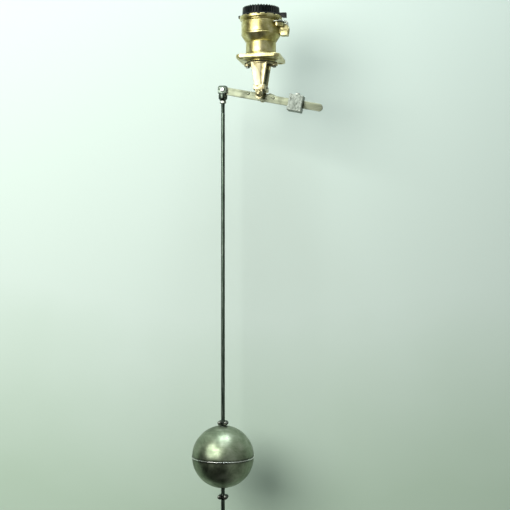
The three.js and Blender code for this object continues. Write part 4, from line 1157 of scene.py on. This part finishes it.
def dented(obj, dents):
    """Presses shallow round dents into a ball; each is a direction, a width and a depth."""
    for vert in obj.data.vertices:
        out = (vert.co / MM - FLOAT_MIDDLE).normalized()
        for direction, width, depth in dents:
            away = (out - direction).length * SHELL_RADIUS
            if away < width * 2.5:
                vert.co -= out * depth * math.exp(-(away / width) ** 2) * MM
        wave = noise.fractal(vert.co * 26, 1.0, 2.0, 2)
        vert.co += out * 0.16 * wave * MM
    return obj


def shell(way, dents):
    """Half the ball in spun sheet, turned out to a small lip at the seam and open for its boss."""
    inner = SHELL_RADIUS - SHELL_WALL
    hole = BOSS_RADIUS + 0.25
    steps = 56
    seam = 0.12
    outside = [(SHELL_RADIUS * math.cos(a), SHELL_RADIUS * math.sin(a)) for a in
               (seam / SHELL_RADIUS + (math.acos(hole / SHELL_RADIUS) - seam / SHELL_RADIUS) * i / steps
                for i in range(steps + 1))]
    inside = [(inner * math.cos(a), inner * math.sin(a)) for a in
              (seam / inner + (math.acos(hole / inner) - seam / inner) * i / steps
               for i in range(steps, -1, -1))]
    half = revolve("shell", outside + inside + outside[:1], 144)
    if way < 0:
        half.data.transform(rotation("X", 180))
    return dented(moved(half, FLOAT_MIDDLE), dents)


def seam_flange():
    """The welded seam: two thin edges pressed together, wavering a little all the way round."""
    outer = corners("float_seam_ring")[1].x - FLOAT_MIDDLE.x

    def waver(radius, height, angle):
        wave = 0.24 * noise.noise(Vector((3 * math.cos(angle), 3 * math.sin(angle), 2)))
        ripple = 0.16 * noise.noise(Vector((16 * math.cos(angle), 16 * math.sin(angle), 5)))
        share = (radius - SHELL_RADIUS) / (outer - SHELL_RADIUS)
        return radius - 0.5 * share * abs(ripple) * 4, height + (wave + ripple) * share * 1.6

    profile = [(65.25, 0), (65.25, -1.2, 0.2), (66, -0.75, 0.3), (outer - 0.2, -0.7, 0.3),
               (outer - 0.1, 0, 0.2), (outer - 0.2, 0.7, 0.3), (66, 0.75, 0.3), (65.25, 1.2, 0.2),
               (65.25, 0)]
    return moved(revolve("seam_flange", rounded(profile, 0.2), 288, waver), FLOAT_MIDDLE)


def float_boss(way):
    """The turned boss welded into the shell, with its weld bead."""
    node = "float_top_boss" if way > 0 else "float_bottom_boss"
    low, high = corners(node)
    thick = high.z - low.z
    profile = [(4.6, thick / 2), (4.6, 0, 0.3), (BOSS_RADIUS, 0, 0.3), (BOSS_RADIUS, thick - 1.5, 0.3),
               (7.6, thick - 0.5, 0.5), (7.0, thick, 0.4), (4.6, thick, 0.6), (4.6, thick / 2)]
    boss = revolve("boss", rounded(profile, 0.3), 72)
    if way < 0:
        return moved(boss, (ROD_X, 0, high.z), rotation("X", 180))
    return moved(boss, (ROD_X, 0, low.z))


UPPER_DENTS = [(Vector((0.42, -0.88, 0.12)).normalized(), 2.6, 0.5),
               (Vector((-0.2, -0.9, 0.36)).normalized(), 9, 0.7),
               (Vector((0.1, -0.8, 0.58)).normalized(), 14, 0.5),
               (Vector((0.7, 0.5, 0.4)).normalized(), 11, 0.6)]
LOWER_DENTS = [(Vector((0.48, -0.82, -0.3)).normalized(), 2.2, 0.6),
               (Vector((0.36, -0.86, -0.36)).normalized(), 2.4, 0.5),
               (Vector((0.2, -0.9, -0.44)).normalized(), 10, 0.5),
               (Vector((-0.6, 0.6, -0.4)).normalized(), 12, 0.6)]
show(shell(1, UPPER_DENTS), "float", "float_upper_shell", "float_steel", float_steel, 50,
     name="upper_half")
show(shell(-1, LOWER_DENTS), "float", "float_lower_shell", "float_steel", float_steel, 50,
     name="lower_half")
show(seam_flange(), "float", "float_seam_ring", "bright_steel", bright_steel, 45)
show(float_boss(1), "float", "float_top_boss", "float_steel", steel, name="upper_boss")
show(float_boss(-1), "float", "float_bottom_boss", "float_steel", steel, name="lower_boss")
tube_low, tube_high = corners("float_guide_tube")
show(moved(turned_ring(4.6, 6, tube_low.z, tube_high.z, 0.2, 56), (ROD_X, 0, 0)), "float",
     "float_guide_tube",
     "float_steel", steel, name="guide_tube")


# ---------------------------------------------------------------- pilot works inside the head
FRAME_LOW, FRAME_HIGH = corners("pilot_frame")
BLOCK_LOW, BLOCK_HIGH = corners("valve_block")
ROCKER_PLACE = Vector(JOINTS["rocker_swing"]["pos_m"]) / MM
ROCKER_LEAN = rotation("Y", 12)
STEM_X = middle("poppet_stem").x
CAGE_SCREW_X = 16
BLOCK_SCREW = (-3, 6)


def pilot_cage():
    """A bent brass cage: a windowed foot, two cheeks and the shelf that carries the valve."""
    base = block("pilot_cage", FRAME_LOW, (FRAME_HIGH.x, FRAME_HIGH.y, FRAME_LOW.z + 2), 0.5)
    base = cut(base, block("window", (-12.5, -8, 0), (12.5, 8, 10), 2.0))
    for side in (-1, 1):
        near = FRAME_LOW.y if side < 0 else FRAME_HIGH.y - 2
        base = combine(base, block("cheek", (-7, near, FRAME_LOW.z + 1), (7, near + 2, 41), 0.4))
    base = combine(base, block("shelf", (-9, FRAME_LOW.y, 40),
                               (FRAME_HIGH.x, FRAME_HIGH.y, FRAME_HIGH.z), 0.5))
    for side in (-1, 1):
        base = cut(base, moved(drill(1.7, 0, 10, 24), (side * CAGE_SCREW_X, 0, 0)))
        base = cut(base, moved(drill(1.7, 30, 50, 24), (BLOCK_SCREW[0], side * BLOCK_SCREW[1], 0)))
    base = cut(base, moved(drill(2.3, -20, 20), (0, 0, ROCKER_PLACE.z), ALONG_Y))
    return soften(cut(base, moved(drill(3, 30, 50, 40), (STEM_X, 0, 0))), 0.2)


def rocker_lever():
    outline = arc(0, 0, 4.5, 60, 225, 16) + [(-2.5, -4), (-2.5, -18), (-5, -18), (-5, -20.5),
                                             (5, -20.5), (5, -18), (2.5, -18), (2.5, -3.6), (6, -1)]
    outline += arc(14, 0, 1.5, -90, 90, 10) + [(5, 1)]
    return moved(plate("rocker_lever", outline, -2, 2, [(0, 0, 2.3)], edge=0.3), ROCKER_PLACE,
                 ROCKER_LEAN)


def seat_block():
    """The pilot valve's block: a stepped throat for the poppet and a side port."""
    body = block("seat_block", BLOCK_LOW, BLOCK_HIGH, 0.9)
    throat = revolve("throat", [(0, 40), (2.5, 40), (2.5, 48), (5, 49.3), (5, 70), (0, 70)], 48)
    body = cut(body, moved(throat, (STEM_X, 0, 0)))
    body = cut(body, moved(drill(2.3, 0, 12), (STEM_X + 1, 0, 56), ALONG_X))
    for side in (-1, 1):
        body = cut(body, moved(drill(1.7, 30, 70, 24), (BLOCK_SCREW[0], side * BLOCK_SCREW[1], 0)))
    return soften(body, 0.25)


def pilot_tube():
    """The small copper-brass line from the block out through the head's side."""
    low, high = corners("outlet_tube")
    curve = bpy.data.curves.new("pilot_tube", "CURVE")
    curve.dimensions = "3D"
    curve.bevel_depth = 2.35 * MM
    curve.bevel_resolution = 6
    curve.resolution_u = 10
    curve.use_fill_caps = True
    spline = curve.splines.new("NURBS")
    route = [(low.x, 56), (25, 56), (28, 57.5), (31, 61.5), (34, OUTLET_Z), (39, OUTLET_Z),
             (high.x, OUTLET_Z)]
    spline.points.add(len(route) - 1)
    spline.use_endpoint_u = True
    spline.order_u = 4
    for point, (x, z) in zip(spline.points, route):
        point.co = (x * MM, 0, z * MM, 1)
    source = link("pilot_tube_curve", curve)
    data = evaluated_mesh(source)
    bpy.data.objects.remove(source)
    return link("pilot_tube", data)


show(pilot_cage(), "head", "pilot_frame", "brass", brass)
show(rocker_lever(), "rocker", "rocker", "steel", steel)
pin_low, pin_high = corners("rocker_pin")
pin = revolve("rocker_axle", rounded([(0, pin_low.y), (2, pin_low.y), (2, pin_high.y),
                                      (0, pin_high.y)], 0.5), 40)
show(along_front(pin, ROCKER_PLACE), "head", "rocker_pin", "steel", bright_steel)
follower = revolve("follower_disc", rounded([(0, -25), (4.5, -25), (4.5, -20.8), (0, -20.8)], 0.5), 48)
show(moved(follower, ROCKER_PLACE, ROCKER_LEAN), "rocker", "follower_magnet", "magnet", magnet_grey)
stem_foot = corners("poppet_stem")[0].z
stem_outline = [(0, stem_foot), (2, stem_foot, 0.5), (2, 49, 0.4), (4.2, 50.2, 0.2),
                (4.2, 52, 0.3), (1.4, 52, 0.2), (1.4, 53, 0.3), (0, 53)]
stem = revolve("poppet_turned", rounded(stem_outline, 0.3), 56)
show(moved(stem, (STEM_X, 0, 0)), "poppet", "poppet_stem", "steel", bright_steel)
show(seat_block(), "head", "valve_block", "brass", brass)
show(pilot_tube(), "head", "outlet_tube", "brass", brass)
plug = slotted_screw(4.7, 6.4, corners("block_plug")[0].z, BLOCK_HIGH.z + 0.3, 3, 1.6)
show(moved(plug, (STEM_X, 0, 0), rotation("Z", 30)), "head", "block_plug", "brass", brass,
     name="throat_plug")
for side, word in ((-1, "front"), (1, "rear")):
    low, high = corners(f"block_screw_{word}")
    screw = slotted_screw(1.4, 2.6, low.z, BLOCK_HIGH.z + 0.3, 2, 0.9)
    show(moved(screw, (BLOCK_SCREW[0], side * BLOCK_SCREW[1], 0), rotation("Z", 55 * side)), "head",
         f"block_screw_{word}", "steel",
         bright_steel, name=f"seat_bolt_{word}")
for side, word in ((-1, "left"), (1, "right")):
    low, high = corners(f"frame_screw_{word}")
    screw = slotted_screw(1.2, 2.4, low.z, high.z - 1.6, 1.6, 0.8)
    show(moved(screw, (side * CAGE_SCREW_X, 0, 0), rotation("Z", 20 * side)), "head",
         f"frame_screw_{word}", "steel",
         steel, name=f"cage_bolt_{word}")

spring = frame["nodes"]["poppet_spring"]
spring.data.materials.clear()
spring.data.materials.append(bright_steel)


# ---------------------------------------------------------------- studio
def studio_place(right, ahead, up):
    return VIEW_RIGHT * right + VIEW_AHEAD * ahead + Vector((0, 0, up))


def softbox(name, place, aim, width, height, power, colour):
    data = bpy.data.lights.new(name, "AREA")
    data.shape = "RECTANGLE"
    data.size = width
    data.size_y = height
    data.energy = power
    data.color = colour
    lamp = bpy.data.objects.new(name, data)
    lamp.location = place
    lamp.rotation_euler = (aim - place).to_track_quat("-Z", "Y").to_euler()
    bpy.context.scene.collection.objects.link(lamp)


def wall_material():
    """Mint paint with a faint roller texture and painted shade that makes it darker and greener towards
    the bottom, seen only from its front.
    """
    finish = Finish("wall_paint", 0.0, 0.8)
    split = finish.tree.nodes.new("ShaderNodeSeparateXYZ")
    finish.tree.links.new(finish.mapped((1, 1, 1)), split.inputs[0])
    # painted shade: the colour is set by height, darker and greener low down, lighter high up
    patch = finish.math("MULTIPLY", finish.noise(2.2, 3, 0.5), 0.4)
    level = finish.math("ADD", finish.math("ADD", split.outputs[2], 0.85), patch)
    colour = finish.ramp(level, (0.12, (0.45, 0.57, 0.46)), (0.58, (0.595, 0.69, 0.635)))
    finish.set(colour=colour, normal=finish.bump(finish.noise(160, 4, 0.6), 0.12))
    clear = finish.tree.nodes.new("ShaderNodeBsdfTransparent")
    blend = finish.tree.nodes.new("ShaderNodeMixShader")
    side = finish.tree.nodes.new("ShaderNodeNewGeometry")
    output = finish.tree.nodes["Material Output"]
    finish.tree.links.new(side.outputs["Backfacing"], blend.inputs["Fac"])
    finish.tree.links.new(finish.shader.outputs[0], blend.inputs[1])
    finish.tree.links.new(clear.outputs[0], blend.inputs[2])
    finish.tree.links.new(blend.outputs[0], output.inputs["Surface"])
    return finish.material


WALL_BEHIND = 0.17
WALL_HALF = 1.15
WALL_TOP = 0.8
WALL_FOOT = -1.45


def backdrop():
    """A flat painted wall close behind the valve, clear when seen from its back."""
    mesh = bmesh.new()
    places = ((-WALL_HALF, WALL_TOP), (-WALL_HALF, WALL_FOOT), (WALL_HALF, WALL_FOOT),
              (WALL_HALF, WALL_TOP))
    mesh.faces.new([mesh.verts.new(studio_place(right, WALL_BEHIND, up)) for right, up in places])
    sheet = solid("backdrop", mesh)
    sheet.data.materials.append(wall_material())


backdrop()
HEAD_AIM = Vector((0, 0, 0))
MIDDLE_AIM = Vector((0, 0, -0.45))
KEY_PLACE = studio_place(-1.2, -1.65, 0.25)
KEY_POWER = 50
TOP_PLACE = studio_place(0.05, -0.5, 1.5)
TOP_POWER = 30
softbox("key", KEY_PLACE, MIDDLE_AIM, 1.5, 1.3, KEY_POWER, (1.0, 1.0, 0.95))
softbox("top", TOP_PLACE, HEAD_AIM, 1.2, 0.8, TOP_POWER, (0.86, 0.94, 1.0))


def studio_world():
    """Room light: a pale side to the right, a pale ceiling, next to nothing below and to the left."""
    world = bpy.data.worlds.new("world")
    world.use_nodes = True
    nodes = world.node_tree.nodes
    links = world.node_tree.links
    direction = nodes.new("ShaderNodeTexCoord").outputs["Generated"]
    background = nodes["Background"]
    total = None
    for toward, stops in ((Vector((0, 0, 1)), ((0.22, 0.02), (0.5, 0.5), (1.0, 0.6))),
                          (VIEW_RIGHT, ((0.26, 0.0), (0.42, 0.42), (0.95, 0.3)))):
        dot = nodes.new("ShaderNodeVectorMath")
        dot.operation = "DOT_PRODUCT"
        dot.inputs[1].default_value = toward
        links.new(direction, dot.inputs[0])
        ramp = nodes.new("ShaderNodeValToRGB")
        ramp.color_ramp.elements.new(0.5)
        for element, (position, value) in zip(ramp.color_ramp.elements, stops):
            element.position = position
            element.color = (value * 0.92, value, value * 0.90, 1)
        links.new(dot.outputs["Value"], ramp.inputs["Fac"])
        if total is None:
            total = ramp.outputs["Color"]
            continue
        lighter = nodes.new("ShaderNodeMix")
        lighter.data_type = "RGBA"
        lighter.blend_type = "LIGHTEN"
        lighter.inputs[0].default_value = 1
        links.new(total, lighter.inputs[6])
        links.new(ramp.outputs["Color"], lighter.inputs[7])
        total = lighter.outputs[2]
    links.new(total, background.inputs["Color"])
    background.inputs["Strength"].default_value = 1
    bpy.context.scene.world = world


studio_world()
bpy.context.scene.view_settings.view_transform = "Standard"
